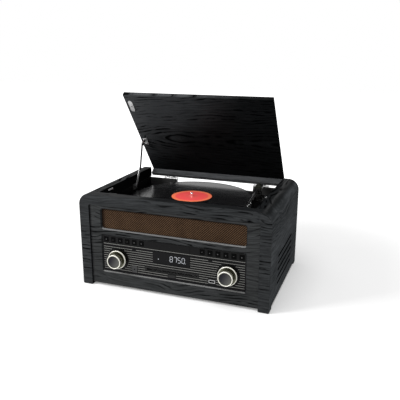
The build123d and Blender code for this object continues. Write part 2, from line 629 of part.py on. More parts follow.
def rear_sockets():
    """Phono sockets, aerial socket, two-pin mains inlet and the housing of the power switch."""
    made = []
    rounds, inlet_x, rocker_x = rear_places()
    for x, r in rounds:
        barrel = rod_y(x, SOCKET_Z, DEPTH - REAR_T, DEPTH + 6, r)
        barrel += rod_y(x, SOCKET_Z, DEPTH - REAR_T - 12, DEPTH - REAR_T, r + 2)
        barrel -= rod_y(x, SOCKET_Z, DEPTH - 6, DEPTH + 7, r - 1.2)
        made.append(barrel + rod_y(x, SOCKET_Z, DEPTH - 7, DEPTH + 3, 1.2))
    x, z, w, h = inlet_x, SOCKET_Z, INLET_W / 2, INLET_H / 2
    inlet = block(x - w, x + w, DEPTH - 22, DEPTH + 1.5, z - h, z + h)
    inlet += block(x - w - 2.5, x + w + 2.5, DEPTH, DEPTH + 1.5, z - h - 2.5, z + h + 2.5)
    inlet -= block(x - w + 3, x + w - 3, DEPTH - 13, DEPTH + 3, z - h + 2.4, z + h - 2.4)
    for side in (-1, 1):
        inlet += rod_y(x + side * 4.3, z, DEPTH - 14, DEPTH - 3, 1.2)
    made.append(inlet)
    x, w, h = rocker_x, ROCKER_W / 2 - 0.2, ROCKER_H / 2 - 0.2
    housing = block(x - w, x + w, DEPTH - 18, DEPTH + 1.2, z - h, z + h)
    housing += block(x - w - 2, x + w + 2, DEPTH, DEPTH + 1.2, z - h - 2, z + h + 2)
    inside_w, inside_h = w - ROCKER_WALL, h - 1
    housing -= block(x - inside_w, x + inside_w, DEPTH - 15, DEPTH + 3, z - inside_h, z + inside_h)
    made.append(housing - rod_x(x - w + 0.6, x + w - 0.6, DEPTH - 5, z, ROCKER_PIN_R + RUNNING))
    return made


def power_switch():
    """Rocker on its cross pin; it tips about its middle."""
    _, _, x = rear_places()
    w = ROCKER_W / 2 - 0.2 - ROCKER_WALL - 0.3
    profile = Polyline((DEPTH - 9, -4.6), (DEPTH - 1, -5.4), (DEPTH + 2.6, -5.2), (DEPTH + 0.9, 0),
                       (DEPTH + 1.1, 5.2), (DEPTH - 1, 5.4), (DEPTH - 9, 4.6), close=True)
    plane = Plane(origin=(x - w, FRONT, SOCKET_Z), x_dir=(0, 1, 0), z_dir=(1, 0, 0))
    rocker = extrude(plane * make_face(profile), 2 * w)
    reach = w + 1.2
    return rocker + rod_x(x - reach, x + reach, DEPTH - 5, SOCKET_Z, ROCKER_PIN_R)


# ---------------------------------------------------------------- deck and turntable
def motor_place():
    a = math.radians(MOTOR_ANGLE)
    return SPINDLE_X + MOTOR_OFFSET * math.cos(a), SPINDLE_Y + MOTOR_OFFSET * math.sin(a)


def deck_tray():
    """Black moulded deck: floor on the side rails, low walls that line the well."""
    top = HEIGHT - WALL
    front = PANEL_BACK + BAFFLE_T
    back = DEPTH - REAR_T
    deck = block(-INNER, INNER, front, back, DECK_Z - DECK_T, DECK_Z)
    deck += block(-WELL_HALF - DECK_WALL, -WELL_HALF, front, back, DECK_Z, top)
    deck += block(WELL_HALF, WELL_HALF + DECK_WALL, front, back, DECK_Z, top)
    deck += block(-WELL_HALF, WELL_HALF, front, WELL_FRONT, DECK_Z, top)
    deck += pole(SPINDLE_X, SPINDLE_Y, DECK_Z - 18, DECK_Z, 8)
    deck -= pole(SPINDLE_X, SPINDLE_Y, DECK_Z - 17, DECK_Z + 1, SHAFT_R + RUNNING)
    mx, my = motor_place()
    deck -= pole(mx, my, DECK_Z - DECK_T - 1, DECK_Z + 1, 5)
    deck -= block(SPEED_X - 1.6, SPEED_X + 1.6, SPEED_Y - 8, SPEED_Y + 8, DECK_Z - DECK_T - 1, DECK_Z + 1)
    deck -= pole(ARM_X, ARM_Y, DECK_Z - DECK_T - 1, DECK_Z + 1, 6)
    return deck + arm_rest()


def platter():
    """Dished platter with a hub and an inner rim for the belt."""
    top = PLATTER_HIGH
    body = pole(SPINDLE_X, SPINDLE_Y, PLATTER_LOW, top, PLATTER_R)
    body -= pole(SPINDLE_X, SPINDLE_Y, PLATTER_LOW - 1, top - PLATTER_WALL, PLATTER_R - PLATTER_WALL)
    rim = pole(SPINDLE_X, SPINDLE_Y, PLATTER_LOW, top - PLATTER_WALL, BELT_RIM_R)
    body += rim - pole(SPINDLE_X, SPINDLE_Y, PLATTER_LOW - 1, top, BELT_RIM_R - BELT_RIM_T)
    body += pole(SPINDLE_X, SPINDLE_Y, PLATTER_LOW, top - PLATTER_WALL, 9)
    return body - pole(SPINDLE_X, SPINDLE_Y, PLATTER_LOW - 1, top + 1, SHAFT_R)


def platter_mat():
    mat = pole(SPINDLE_X, SPINDLE_Y, PLATTER_HIGH, PLATTER_HIGH + MAT_T, PLATTER_R - 1)
    return mat - pole(SPINDLE_X, SPINDLE_Y, PLATTER_HIGH - 1, RECORD_Z + 1, SPINDLE_R + 0.3)


def record():
    """Twelve-inch record with a raised rim and label area."""
    disc = pole(SPINDLE_X, SPINDLE_Y, RECORD_Z, RECORD_Z + RECORD_T, RECORD_R)
    groove = pole(SPINDLE_X, SPINDLE_Y, RECORD_Z + RECORD_T - 0.3, RECORD_Z + RECORD_T + 1, RECORD_R - 4)
    groove -= pole(SPINDLE_X, SPINDLE_Y, RECORD_Z, RECORD_Z + RECORD_T + 2, LABEL_R + 2)
    disc -= groove
    return disc - pole(SPINDLE_X, SPINDLE_Y, RECORD_Z - 1, RECORD_Z + RECORD_T + 1, RECORD_HOLE_R)


def record_label():
    z = RECORD_Z + RECORD_T
    label = pole(SPINDLE_X, SPINDLE_Y, z, z + LABEL_T, LABEL_R)
    return label - pole(SPINDLE_X, SPINDLE_Y, z - 1, z + 1, RECORD_HOLE_R)


def spindle():
    """Turning shaft in the deck's bush with the centre pin on top."""
    tip = RECORD_Z + RECORD_T + SPINDLE_RISE
    pin = pole(SPINDLE_X, SPINDLE_Y, PLATTER_HIGH, tip, SPINDLE_R)
    pin = fillet(pin.edges().sort_by(Axis.Z)[-1], SPINDLE_R * 0.8)
    return pin + pole(SPINDLE_X, SPINDLE_Y, DECK_Z - 16, PLATTER_HIGH, SHAFT_R)


def belt_outline(extra):
    """Loop round the belt rim and the pulley, this much outside them."""
    mx, my = motor_place()
    a = Pos(SPINDLE_X, SPINDLE_Y) * Circle(BELT_RIM_R + extra)
    b = Pos(mx, my) * Circle(PULLEY_R + extra)
    return make_hull(a.edges() + b.edges())


def drive_belt():
    z = PLATTER_LOW + 0.8
    loop = belt_outline(BELT_GAP + BELT_T) - belt_outline(BELT_GAP)
    return Pos(0, FRONT, z) * extrude(loop, BELT_H)


def deck_motor():
    mx, my = motor_place()
    top = DECK_Z - DECK_T
    can = pole(mx, my, top - MOTOR_H, top, MOTOR_R)
    can += block(mx - 19, mx + 19, my - 5, my + 5, top - 1.5, top)
    return can - pole(mx, my, top - 10, top + 1, 1 + RUNNING)


def motor_pulley():
    """Flanged pulley on the motor's shaft."""
    mx, my = motor_place()
    z = PLATTER_LOW + 0.4
    wheel = pole(mx, my, z, z + BELT_H + 0.8, PULLEY_R)
    return wheel + pole(mx, my, DECK_Z - DECK_T - 9, z, 1)


# ---------------------------------------------------------------- tonearm
def arm_frame(shape):
    """Set a piece made along -Y from the arm's turning axis onto the parked arm."""
    return Pos(ARM_X, FRONT + ARM_Y, 0) * Rot(0, 0, ARM_ANGLE) * shape


SPEED_X = WELL_HALF - 18.0
SPEED_Y = ARM_Y - 98.0
CUE_X = ARM_X + 27.0
CUE_Y = ARM_Y - 14.0
CUE_POST = 12.0


def tonearm_base():
    """Round turret on the deck with the post of the cueing lever beside it."""
    top = DECK_Z + TURRET_H
    base = pole(ARM_X, ARM_Y, DECK_Z, top, TURRET_R)
    base += pole(ARM_X, ARM_Y, DECK_Z - DECK_T - 8, DECK_Z, 5.8)
    base += pole(ARM_X, ARM_Y, DECK_Z, DECK_Z + 4, TURRET_R + 3)
    base += block(ARM_X, CUE_X, CUE_Y - 6, CUE_Y + 6, DECK_Z, DECK_Z + 4)
    base += pole(CUE_X, CUE_Y, DECK_Z, DECK_Z + CUE_POST, 6)
    base -= pole(ARM_X, ARM_Y, DECK_Z - 20, ARM_Z, 4 + RUNNING)
    return base - pole(CUE_X, CUE_Y, DECK_Z + 2, DECK_Z + 30, 2 + RUNNING)


def tonearm_yoke():
    """Turning post with the two ears that hold the arm's cross pin."""
    low = DECK_Z + TURRET_H + 0.3
    yoke = Pos(0, 0, (low + ARM_Z - 9) / 2) * Cylinder(TURRET_R - 1, ARM_Z - 9 - low)
    yoke += Pos(0, 0, (DECK_Z - 9 + low) / 2) * Cylinder(4, low - DECK_Z + 9)
    for side in (-1, 1):
        yoke += Pos(side * 9.8, 0, ARM_Z - 2.5) * Box(2.6, 8, 14)
    yoke -= Pos(0, 0, ARM_Z) * Rot(0, 90, 0) * Cylinder(1.5 + RUNNING, 40)
    return arm_frame(yoke)


def tonearm():
    """Straight tube with its cross pin, bearing block and rear stub."""
    length = ARM_REACH - HEAD_L + 8
    tube = Pos(0, -length / 2, ARM_Z) * Rot(90, 0, 0) * Cylinder(TUBE_R, length)
    tube += Pos(0, 0, ARM_Z) * Box(14, 13, 8.6)
    tube += Pos(0, 18, ARM_Z) * Rot(90, 0, 0) * Cylinder(TUBE_R, 26)
    tube += Pos(0, 0, ARM_Z) * Rot(0, 90, 0) * Cylinder(1.5, 22)
    return arm_frame(tube)


def headshell():
    """Black shell with the cartridge, the stylus and a finger lift."""
    near = -(ARM_REACH - HEAD_L + 8)
    tip = -ARM_REACH
    shell = Pos(0, near - HEAD_L / 2, ARM_Z - 0.5) * Box(HEAD_W, HEAD_L, 5.5)
    shell = fillet(shell.edges().filter_by(Axis.Z), 3)
    shell += Pos(0, tip + 4, ARM_Z - 5) * Box(11, 17, 6)
    shell += Pos(0, tip, ARM_Z - STYLUS_DROP + 0.9) * Box(1.2, 5, 1.8)
    shell += Pos(HEAD_W / 2 + 5, tip - 2, ARM_Z + 0.6) * Box(11, 3, 1.4)
    return arm_frame(shell)


def counterweight():
    """Round weight on the arm's rear stub."""
    mid = 15 + WEIGHT_L / 2
    weight = Pos(0, mid, ARM_Z) * Rot(90, 0, 0) * Cylinder(WEIGHT_R, WEIGHT_L)
    return arm_frame(weight - Pos(0, 18, ARM_Z) * Rot(90, 0, 0) * Cylinder(TUBE_R, 26))


def arm_rest():
    """Post with an outer hook that the parked tube lies on, moulded with the deck."""
    seat = ARM_Z - TUBE_R - 0.2
    post = Pos(0, -REST_REACH, (DECK_Z + seat) / 2) * Box(7, 7, seat - DECK_Z)
    post += Pos(5.5, -REST_REACH, (DECK_Z + ARM_Z + 3) / 2) * Box(4, 7, ARM_Z + 3 - DECK_Z)
    return arm_frame(post)


def cue_lever():
    """Bright lever on the turret's side post."""
    z = DECK_Z + CUE_POST + 0.3
    hub = pole(CUE_X, CUE_Y, z, z + 4, 5)
    stem = pole(CUE_X, CUE_Y, DECK_Z + 3, z, 2)
    blade = block(CUE_X - 2, CUE_X + 2, CUE_Y - 34, CUE_Y, z, z + 2.4)
    return hub + blade + stem


def speed_switch():
    """Small slide lever in the deck slot, with its foot below the floor."""
    stem = block(SPEED_X - 1.3, SPEED_X + 1.3, SPEED_Y - 2.5, SPEED_Y + 2.5, DECK_Z - DECK_T - 0.3, DECK_Z + 9)
    cap = block(SPEED_X - 3.5, SPEED_X + 3.5, SPEED_Y - 4.5, SPEED_Y + 4.5, DECK_Z + 0.3, DECK_Z + 3)
    foot = block(SPEED_X - 4, SPEED_X + 4, SPEED_Y - 4, SPEED_Y + 4, DECK_Z - DECK_T - 1.8, DECK_Z - DECK_T - 0.3)
    return stem + cap + foot


# ---------------------------------------------------------------- lid
def lid_board():
    """Veneered board that drops into the top opening."""
    board = block(-WELL_HALF + LID_GAP, WELL_HALF - LID_GAP, WELL_FRONT + LID_GAP, DEPTH - LID_BACK, HEIGHT - LID_T, HEIGHT)
    board = fillet(board.edges().filter_by(Axis.X).sort_by(Axis.Y)[:2], 1.5)
    return opened(board)


def lid_batten():
    """Strip under the lid's rear edge that carries the hinges."""
    half = WELL_HALF - LID_GAP
    strip = block(-half, half, DEPTH - LID_BACK - BATTEN_T, DEPTH - LID_BACK, BATTEN_LOW, HEIGHT - LID_T)
    return opened(strip)


def knuckles(x, odd):
    """Alternate rolled segments of one hinge: three on the cabinet leaf, two on the lid leaf."""
    step = HINGE_W / 5
    made = []
    for i in range(5):
        if (i % 2 == 1) == odd:
            x0 = x - HINGE_W / 2 + i * step
            made.append(rod_x(x0 + 0.15, x0 + step - 0.15, HINGE_Y, HINGE_Z, KNUCKLE_R))
    return made


def hinge_leaves_body():
    """Cabinet leaves on the rear panel, with the hinge pins."""
    made = []
    for x in (-HINGE_X, HINGE_X):
        leaf = block(x - HINGE_W / 2, x + HINGE_W / 2, DEPTH, DEPTH + LEAF_T, HINGE_Z - 26, HINGE_Z - KNUCKLE_R - 0.6)
        for seg in knuckles(x, False):
            box = seg.bounding_box()
            leaf += seg
            leaf += block(box.min.X, box.max.X, DEPTH, DEPTH + LEAF_T, HINGE_Z - KNUCKLE_R - 0.6, HINGE_Z - 0.5)
            leaf += block(box.min.X, box.max.X, DEPTH, HINGE_Y - 1, HINGE_Z - 2.5, HINGE_Z - 0.5)
        leaf += rod_x(x - HINGE_W / 2, x + HINGE_W / 2, HINGE_Y, HINGE_Z, 1.5)
        made.append(leaf)
    return made


def hinge_leaves_lid():
    """Lid leaves on the back of the batten."""
    made = []
    for x in (-HINGE_X, HINGE_X):
        low = HINGE_Z + KNUCKLE_R + 0.6
        rear = DEPTH - LID_BACK
        leaf = block(x - HINGE_W / 2, x + HINGE_W / 2, rear, rear + LEAF_T, low, HEIGHT - LID_T + 6)
        for seg in knuckles(x, True):
            box = seg.bounding_box()
            leaf += seg
            leaf += block(box.min.X, box.max.X, rear, rear + LEAF_T, HINGE_Z + 1, low)
            leaf += block(box.min.X, box.max.X, rear, HINGE_Y - 1, HINGE_Z + 1, HINGE_Z + 2.8)
        leaf -= rod_x(x - HINGE_W, x + HINGE_W, HINGE_Y, HINGE_Z, 1.5 + RUNNING)
        made.append(opened(leaf))
    return made


PLATE_X = 14.0 - WELL_HALF
PLATE_FROM_FRONT = 36.0
PLATE_L = 34.0
PLATE_W = 11.0


def strike_plate():
    """Oval steel plate under the lid that the magnet catch pulls, with its screw."""
    y = WELL_FRONT + LID_GAP + PLATE_FROM_FRONT
    plane = Plane(origin=(PLATE_X, FRONT + y, HEIGHT - LID_T), x_dir=(0, 1, 0), z_dir=(0, 0, -1))
    plate = extrude(plane * SlotOverall(PLATE_L, PLATE_W), 1.5)
    plate += pole(PLATE_X, y, HEIGHT - LID_T - 2.4, HEIGHT - LID_T - 1.5, 3)
    return opened(plate)


def catch():
    """Sprung magnet catch on the left wall of the well."""
    top = HEIGHT - LID_T - 2.4 - 0.6
    x0, x1 = -WELL_HALF, -WELL_HALF + 20
    y = WELL_FRONT + LID_GAP + PLATE_FROM_FRONT
    body = block(x0, x0 + 2, y - 16, y + 16, top - 14, top - 1)
    body += block(x0, x1, y - 9, y + 9, top - 5, top)
    return body


STAY_X = -WELL_HALF + 3.1        # outer face of the lower link
STAY_GAP = 0.4


def stay_places():
    """Pins of the folding stay in depth and height: wall, knee and lid, with the lid propped."""
    wall = (STAY_WALL_Y, HEIGHT - STAY_WALL_DOWN)
    lid = opened_point(DEPTH - LID_BACK - BATTEN_T - STAY_LID_REACH, HEIGHT - LID_T - STAY_LID_DOWN)
    span = math.dist(wall, lid)
    upper = span + STAY_SLACK - STAY_LOW_L
    bend = math.acos((STAY_LOW_L ** 2 + span ** 2 - upper ** 2) / (2 * STAY_LOW_L * span))
    aim = math.atan2(lid[1] - wall[1], lid[0] - wall[0]) - bend
    knee = (wall[0] + STAY_LOW_L * math.cos(aim), wall[1] + STAY_LOW_L * math.sin(aim))
    return wall, knee, lid


def bar(a, b, x0, x1, hole_a, hole_b):
    """Flat link with round ends between two pins, in a plane x0 to x1."""
    length = math.dist(a, b)
    mid = ((a[0] + b[0]) / 2, (a[1] + b[1]) / 2)
    angle = math.degrees(math.atan2(b[1] - a[1], b[0] - a[0]))
    outline = Rot(0, 0, angle) * SlotCenterToCenter(length, STAY_W)
    plane = Plane(origin=(x0, FRONT + mid[0], mid[1]), x_dir=(0, 1, 0), z_dir=(1, 0, 0))
    link = extrude(plane * outline, x1 - x0)
    for (y, z), r in ((a, hole_a), (b, hole_b)):
        if r:
            link -= rod_x(x0 - 1, x1 + 1, y, z, r)
    return link


def stay_lower_link():
    wall, knee, _ = stay_places()
    link = bar(wall, knee, STAY_X, STAY_X + STAY_T, STAY_PIN_R + RUNNING, 0)
    return link + rod_x(STAY_X - 0.9, STAY_X, knee[0], knee[1], 2.6)


def stay_upper_link():
    _, knee, lid = stay_places()
    x0 = STAY_X + STAY_T + STAY_GAP
    link = bar(knee, lid, x0, x0 + STAY_T, 0, STAY_PIN_R + RUNNING)
    return link + rod_x(x0 + STAY_T, x0 + STAY_T + 0.9, knee[0], knee[1], 2.6)


def stay_wall_bracket():
    """Plate on the well's left wall with the lower pin."""
    (y, z), _, _ = stay_places()
    plate = block(-WELL_HALF, -WELL_HALF + 1.5, y - 14, y + 8, z - 10, z + 5)
    plate += rod_x(-WELL_HALF + 1.5, STAY_X - 0.2, y, z, 3.4)
    plate += rod_x(STAY_X - 0.2, STAY_X + STAY_T + 0.2, y, z, STAY_PIN_R)
    for dy in (-11, -4):
        plate += rod_x(-WELL_HALF + 1.5, -WELL_HALF + 2.3, y + dy, z - 7, 2.2)
    return plate


def stay_lid_bracket():
    """Angle on the lid's underside with the upper pin."""
    y = DEPTH - LID_BACK - BATTEN_T - STAY_LID_REACH
    z = HEIGHT - LID_T - STAY_LID_DOWN
    under = HEIGHT - LID_T
    x0 = STAY_X + 2 * STAY_T + STAY_GAP + 1.4
    flange = block(x0, x0 + 12, y - 11, y + 11, under - 1.5, under)
    ear = block(x0, x0 + 1.5, y - 5, y + 5, z - 4, under - 1.5)
    pin = rod_x(x0 - 1.6, x0, y, z, STAY_PIN_R)
    pin += rod_x(STAY_X + STAY_T + STAY_GAP - 0.2, x0 - 1.2, y, z, STAY_PIN_R)
    body = flange + ear + pin
    for dy in (-7.5, 7.5):
        body += pole(x0 + 7, y + dy, under - 2.4, under - 1.5, 2.2)
    return opened(body)


# ---------------------------------------------------------------- fasteners
def screws():
    """Heads on the rear panel and in the deck's corners."""
    made = []
    for side in (-1, 1):
        x = side * (INNER - 10)
        for z in (BOARD_Z + 16, (BOARD_Z + REAR_TOP) / 2, DECK_Z - 7):
            made.append(rod_y(x, z, DEPTH, DEPTH + 1.6, 3.5))
        for y in (WELL_FRONT + 11, DEPTH - 16):
            made.append(pole(side * (WELL_HALF - 10), y, DECK_Z, DECK_Z + 1.4, 3.2))
    return made


# ---------------------------------------------------------------- write the sub-parts
save("cabinet_shell", cabinet_shell())
save("front_panel", front_panel())
save("bottom_board", bottom_board())
save("rear_panel", rear_panel())
save("foot_pads", *foot_pads())
save("grille_cloth", grille_cloth())
save("speaker_baffle", speaker_baffle())
save("speakers", *speakers())
save("control_fascia", control_fascia())
save("trim_lines", *trim_lines())
save("control_board", control_board())
save("display_lens", display_lens())
save("front_sockets", *front_sockets())
save("cd_drive", cd_drive())
save("amplifier_board", amplifier_board())
save("power_supply", power_supply())
save("rear_sockets", *rear_sockets())
save("power_switch", power_switch())
save("deck_tray", deck_tray())
save("platter", platter())
save("platter_mat", platter_mat())
save("record", record())
save("record_label", record_label())
save("spindle", spindle())
save("drive_belt", drive_belt())
save("deck_motor", deck_motor())
save("motor_pulley", motor_pulley())
save("tonearm_base", tonearm_base())
save("tonearm_yoke", tonearm_yoke())
save("tonearm", tonearm())
save("headshell", headshell())
save("counterweight", counterweight())
save("cue_lever", cue_lever())
save("speed_switch", speed_switch())
save("lid_board", lid_board())
save("lid_batten", lid_batten())
save("hinge_leaves_body", *hinge_leaves_body())
save("hinge_leaves_lid", *hinge_leaves_lid())
save("strike_plate", strike_plate())
save("catch", catch())
save("stay_wall_bracket", stay_wall_bracket())
save("stay_lid_bracket", stay_lid_bracket())
save("stay_lower_link", stay_lower_link())
save("stay_upper_link", stay_upper_link())
save("knob_left", knob(-1))
save("knob_right", knob(1))
for number, place in enumerate(key_places(), 1):
    save(f"key_{number:02d}", key(place, KEY_Z, KEY_W, KEY_H))
save("eject_key", key(EJECT_X, EJECT_Z, EJECT_W, EJECT_H))
save("screws", *screws())
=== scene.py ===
import math

import bmesh
import bpy
import numpy as np
from mathutils import Matrix, Vector


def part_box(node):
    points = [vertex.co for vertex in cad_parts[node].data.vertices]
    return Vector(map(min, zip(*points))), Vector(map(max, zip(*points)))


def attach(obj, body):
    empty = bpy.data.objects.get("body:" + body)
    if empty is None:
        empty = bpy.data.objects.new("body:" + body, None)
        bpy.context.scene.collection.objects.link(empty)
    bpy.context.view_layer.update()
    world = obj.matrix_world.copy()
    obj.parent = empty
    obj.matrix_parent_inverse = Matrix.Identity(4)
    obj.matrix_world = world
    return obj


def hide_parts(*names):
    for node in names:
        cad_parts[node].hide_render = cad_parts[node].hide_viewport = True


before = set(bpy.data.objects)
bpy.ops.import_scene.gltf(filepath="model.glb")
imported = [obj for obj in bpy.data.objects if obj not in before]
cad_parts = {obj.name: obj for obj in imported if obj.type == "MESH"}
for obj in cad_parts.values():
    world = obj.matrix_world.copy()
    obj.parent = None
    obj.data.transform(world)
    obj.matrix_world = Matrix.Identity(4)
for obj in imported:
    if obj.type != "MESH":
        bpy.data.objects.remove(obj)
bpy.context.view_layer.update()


# ---------------------------------------------------------------- cabinet shell
# Two side walls and a top plate bent from one board, covered in black-stained ash veneer with open
# pores.  On the front edges and the front rail the grain runs across; on the walls and the rest of
# the top it runs front to back.
class Fibre:
    """A value inside one material.  Arithmetic and comparison on it add Math nodes."""

    def __init__(self, tree, socket=None):
        self.tree, self.socket = tree, socket

    def node(self, kind, settings, inputs, out=0):
        """Any node: its settings first, then the values or links of its sockets."""
        made = self.tree.nodes.new(kind)
        for name, value in settings.items():
            setattr(made, name, value)
        for name, value in inputs.items():
            if isinstance(value, Fibre):
                self.tree.links.new(value.socket, made.inputs[name])
            else:
                made.inputs[name].default_value = value
        return Fibre(self.tree, made.outputs[out])

    def math(self, operation, *values):
        """One Math node on these values."""
        return self.node("ShaderNodeMath", {"operation": operation}, dict(enumerate(values)))

    def __add__(self, other):
        return self.math("ADD", self, other)

    def __sub__(self, other):
        return self.math("SUBTRACT", self, other)

    def __rsub__(self, other):
        return self.math("SUBTRACT", other, self)

    def __mul__(self, other):
        return self.math("MULTIPLY", self, other)

    def __pow__(self, other):
        return self.math("POWER", self, other)

    def __abs__(self):
        return self.math("ABSOLUTE", self)

    def __gt__(self, other):
        return self.math("GREATER_THAN", self, other)

    def __lt__(self, other):
        return self.math("LESS_THAN", self, other)

    __radd__, __rmul__ = __add__, __mul__

    def wave(self):
        """Sine of this angle, brought between 0 and 1."""
        return self.math("SINE", self) * 0.5 + 0.5

    def root(self):
        """Square root of this value."""
        return self.math("SQRT", self)

    def step(self, low, high):
        """Smooth rise from 0 at low to 1 at high."""
        return self.node("ShaderNodeMapRange", {"interpolation_type": "SMOOTHSTEP"},
                         {"Value": self, "From Min": low, "From Max": high})

    def between(self, dark, light):
        """Colour from dark to light as this value goes from 0 to 1."""
        return self.node("ShaderNodeMix", {"data_type": "RGBA"}, {0: self, 6: dark, 7: light}, out=2)

    def place(self):
        """Object coordinates x, y, z in metres, and the object-space normal's three parts."""
        parts = []
        for source in ("Object", "Normal"):
            vector = self.node("ShaderNodeTexCoord", {}, {}, out=source)
            split = self.node("ShaderNodeSeparateXYZ", {}, {0: vector})
            parts += [Fibre(self.tree, socket) for socket in split.socket.node.outputs]
        return parts

    def noise(self, x, y, z, detail=2.0, rough=0.5):
        """Soft noise from 0 to 1 at that point."""
        point = self.node("ShaderNodeCombineXYZ", {}, {0: x, 1: y, 2: z})
        return self.node("ShaderNodeTexNoise", {}, {"Vector": point, "Scale": 1.0, "Detail": detail,
                                                    "Roughness": rough})

    def relief(self, depth):
        """Bump normal from this height, depth in metres."""
        return self.node("ShaderNodeBump", {}, {"Height": self, "Distance": depth, "Strength": 1.0})


def start_finish(name):
    """New material; the returned value adds nodes to it."""
    material = bpy.data.materials.new(name)
    material.use_nodes = True
    return Fibre(material.node_tree)


def end_finish(fibre, material_name, **sockets):
    """Feed the Principled shader; underscores in names stand for spaces."""
    material = bpy.data.materials[material_name]
    shader = material.node_tree.nodes["Principled BSDF"]
    for name, value in sockets.items():
        socket = shader.inputs[name.replace("_", " ")]
        if isinstance(value, Fibre):
            fibre.tree.links.new(value.socket, socket)
        else:
            socket.default_value = value
    return material


def dress(material, *nodes):
    """Give CAD nodes this material."""
    for node in nodes:
        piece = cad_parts[node]
        if not piece.material_slots:
            piece.data.materials.append(material)
        for slot in piece.material_slots:
            slot.material = material


# Changes in a metre, along the grain and across it, of each feature of the veneer; and how far the
# drift of the growth lines carries dashes and streaks with it.
ash_rates = {"drift": (5.0, 12.0), "dashes": (26.0, 170.0), "patch": (3.0, 15.0), "streak": (16.0, 300.0),
             "pores": (80.0, 2300.0), "broad": (2.0, 9.0)}
ash_sway = {"dashes": (3.0, 14.0), "streak": (2.0, 9.0)}
growth_lines, growth_wander = 740.0, 52.0
ash_black = (0.0008, 0.0009, 0.001, 1)
# Grey of the painted highlight on the windows' lower bevels.
highlight_grey = (0.14, 0.14, 0.14, 1)
pore_depth = 0.0003


def black_ash(name, lie, dark, light, figure=1.0, swirl=1.0, shade=None, sheen=0.5, painted_highlight=None):
    """Black ash: dark wavy growth lines broken into dashes, fine streaks and pores, slow change of
    tone.  lie turns place and facing into the distances along and across the grain; shade, if
    given, turns them into a factor of painted light and shade on the colour and the sheen, and the
    last argument into how far a painted highlight lightens the colour.  The lacquer's sheen is lost
    in the pores and lines, and there is none on the side walls."""
    wood = start_finish(name)
    place = wood.place()
    sideways, upwards = place[3], place[5]
    along, across = lie(*place)

    def layer(feature, seed, detail=2.0, rough=0.5):
        """Noise at the feature's own rates, carried by the drift where the feature sways."""
        u, v = along * ash_rates[feature][0], across * ash_rates[feature][1]
        if feature in ash_sway:
            u, v = u + drift * ash_sway[feature][0], v + drift * ash_sway[feature][1]
        return wood.noise(u, v, seed, detail, rough)

    drift = layer("drift", seed=0.3)
    rings = (across * growth_lines + drift * (growth_wander * swirl)).wave()
    dashes = layer("dashes", seed=5.0, rough=0.6).step(0.42, 0.6)
    patch = layer("patch", seed=4.0).step(0.34, 0.62)
    wall = abs(sideways).step(0.1, 0.6)
    lines = wood.math("MINIMUM", (rings ** 2.4) * dashes * patch * figure, 1.0) * (1.0 - wall * 0.6)
    streak = layer("streak", seed=7.0, detail=3.0, rough=0.6).step(0.36, 0.66)
    pores = layer("pores", seed=9.0, rough=0.65).step(0.38, 0.66)
    broad = layer("broad", seed=2.0, detail=1.0)
    smooth = (1.0 - lines * 0.95) * (0.58 + streak * 0.42) * (0.8 + pores * 0.2)
    tone, gloss = smooth * (0.5 + broad), smooth * (1.0 + upwards.step(0.6, 0.95) * 2.0) * sheen
    # Painted light and shade, where given, scale the colour and the sheen.
    if shade:
        depth = shade(*place)
        tone, gloss = tone * depth, gloss * depth
    colour = tone.between(dark, light)
    # Painted highlight, where the last argument gives it.
    if painted_highlight:
        colour = painted_highlight(*place).between(colour, highlight_grey)
    height = pores * 0.3 + streak * 0.3 - lines * 0.8
    return end_finish(wood, name, Base_Color=colour,
                      Roughness=0.6 + (1.0 - pores) * 0.12, Normal=height.relief(pore_depth),
                      Specular_IOR_Level=0.0, Coat_Weight=gloss * (1.0 - wall),
                      Coat_Roughness=0.28, Coat_IOR=1.45)


shell_low, shell_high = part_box("cabinet_shell")
rail_back, rail_start = shell_low.y + 0.024, 0.4
# Painted light: how light the front faces, the walls and the top are painted, standing in for how light
# falls on each.
front_lit, wall_lit, top_lit = 0.42, 0.97, 0.4
inner_face = 0.2035
# The faces inside the vents lie between these heights and further out than this.
slots_low, slots_high, slots_out = 0.012, 0.12, 0.2
# The topmost vent's middle, the step down to the next, how many there are, and how far up and down
# from each middle the painted shade reaches.
vent_top, vent_pitch, vent_count, vent_shade_reach = 0.103, 0.0162, 5, 0.0028
vent_front, vent_back = shell_low.y + 0.0782, shell_high.y - 0.0722
vents_low, vents_high = vent_top - (vent_count - 0.5) * vent_pitch, vent_top + vent_pitch / 2


def shell_lie(x, y, z, nx, ny, nz):
    """Front faces: along x, across z.  Top of the front rail: along x, across y.  Other faces: along
    y, across the girth x + z."""
    front, rail = abs(ny) > 0.7, (nz > 0.9) * (y < rail_back)
    side = 1.0 - front - rail
    girth = z + abs(x)
    return x * (front + rail) + y * side, z * front + (y + rail_start) * rail + girth * side


def shell_shade(x, y, z, nx, ny, nz):
    """Painted light and shade: the walls are painted lightest and the top darkest, standing in for how
    the light falls on them.  Inner faces and the faces inside the vents are painted black as shade,
    and this painted shade laps a millimetre over the vents' rims."""
    wall, out = abs(nx), abs(x)
    # Painted shade: black on the inner faces, inside the vents and in a band round each vent's rim.
    inner = (wall > 0.7) * (out < inner_face)
    slot = (abs(nz) > 0.7) * (z < slots_high) * (z > slots_low) * (out > slots_out)
    from_vent = z.math("PINGPONG", z - vent_top, vent_pitch / 2)
    among_vents = (z > vents_low) * (z < vents_high) * (y > vent_front) * (y < vent_back)
    painted_rim_shade = (from_vent < vent_shade_reach) * among_vents * (wall > 0.7)
    # Painted light and shade by the way each face looks: walls lightest, top darkest.
    facing_light = wall.step(0.3, 0.9) * (wall_lit - front_lit) + front_lit
    facing_light = facing_light * (1.0 - nz.step(0.6, 0.95) * (1.0 - top_lit))
    return (1.0 - inner * 0.93) * (1.0 - slot * 0.98) * (1.0 - painted_rim_shade * 0.97) * facing_light


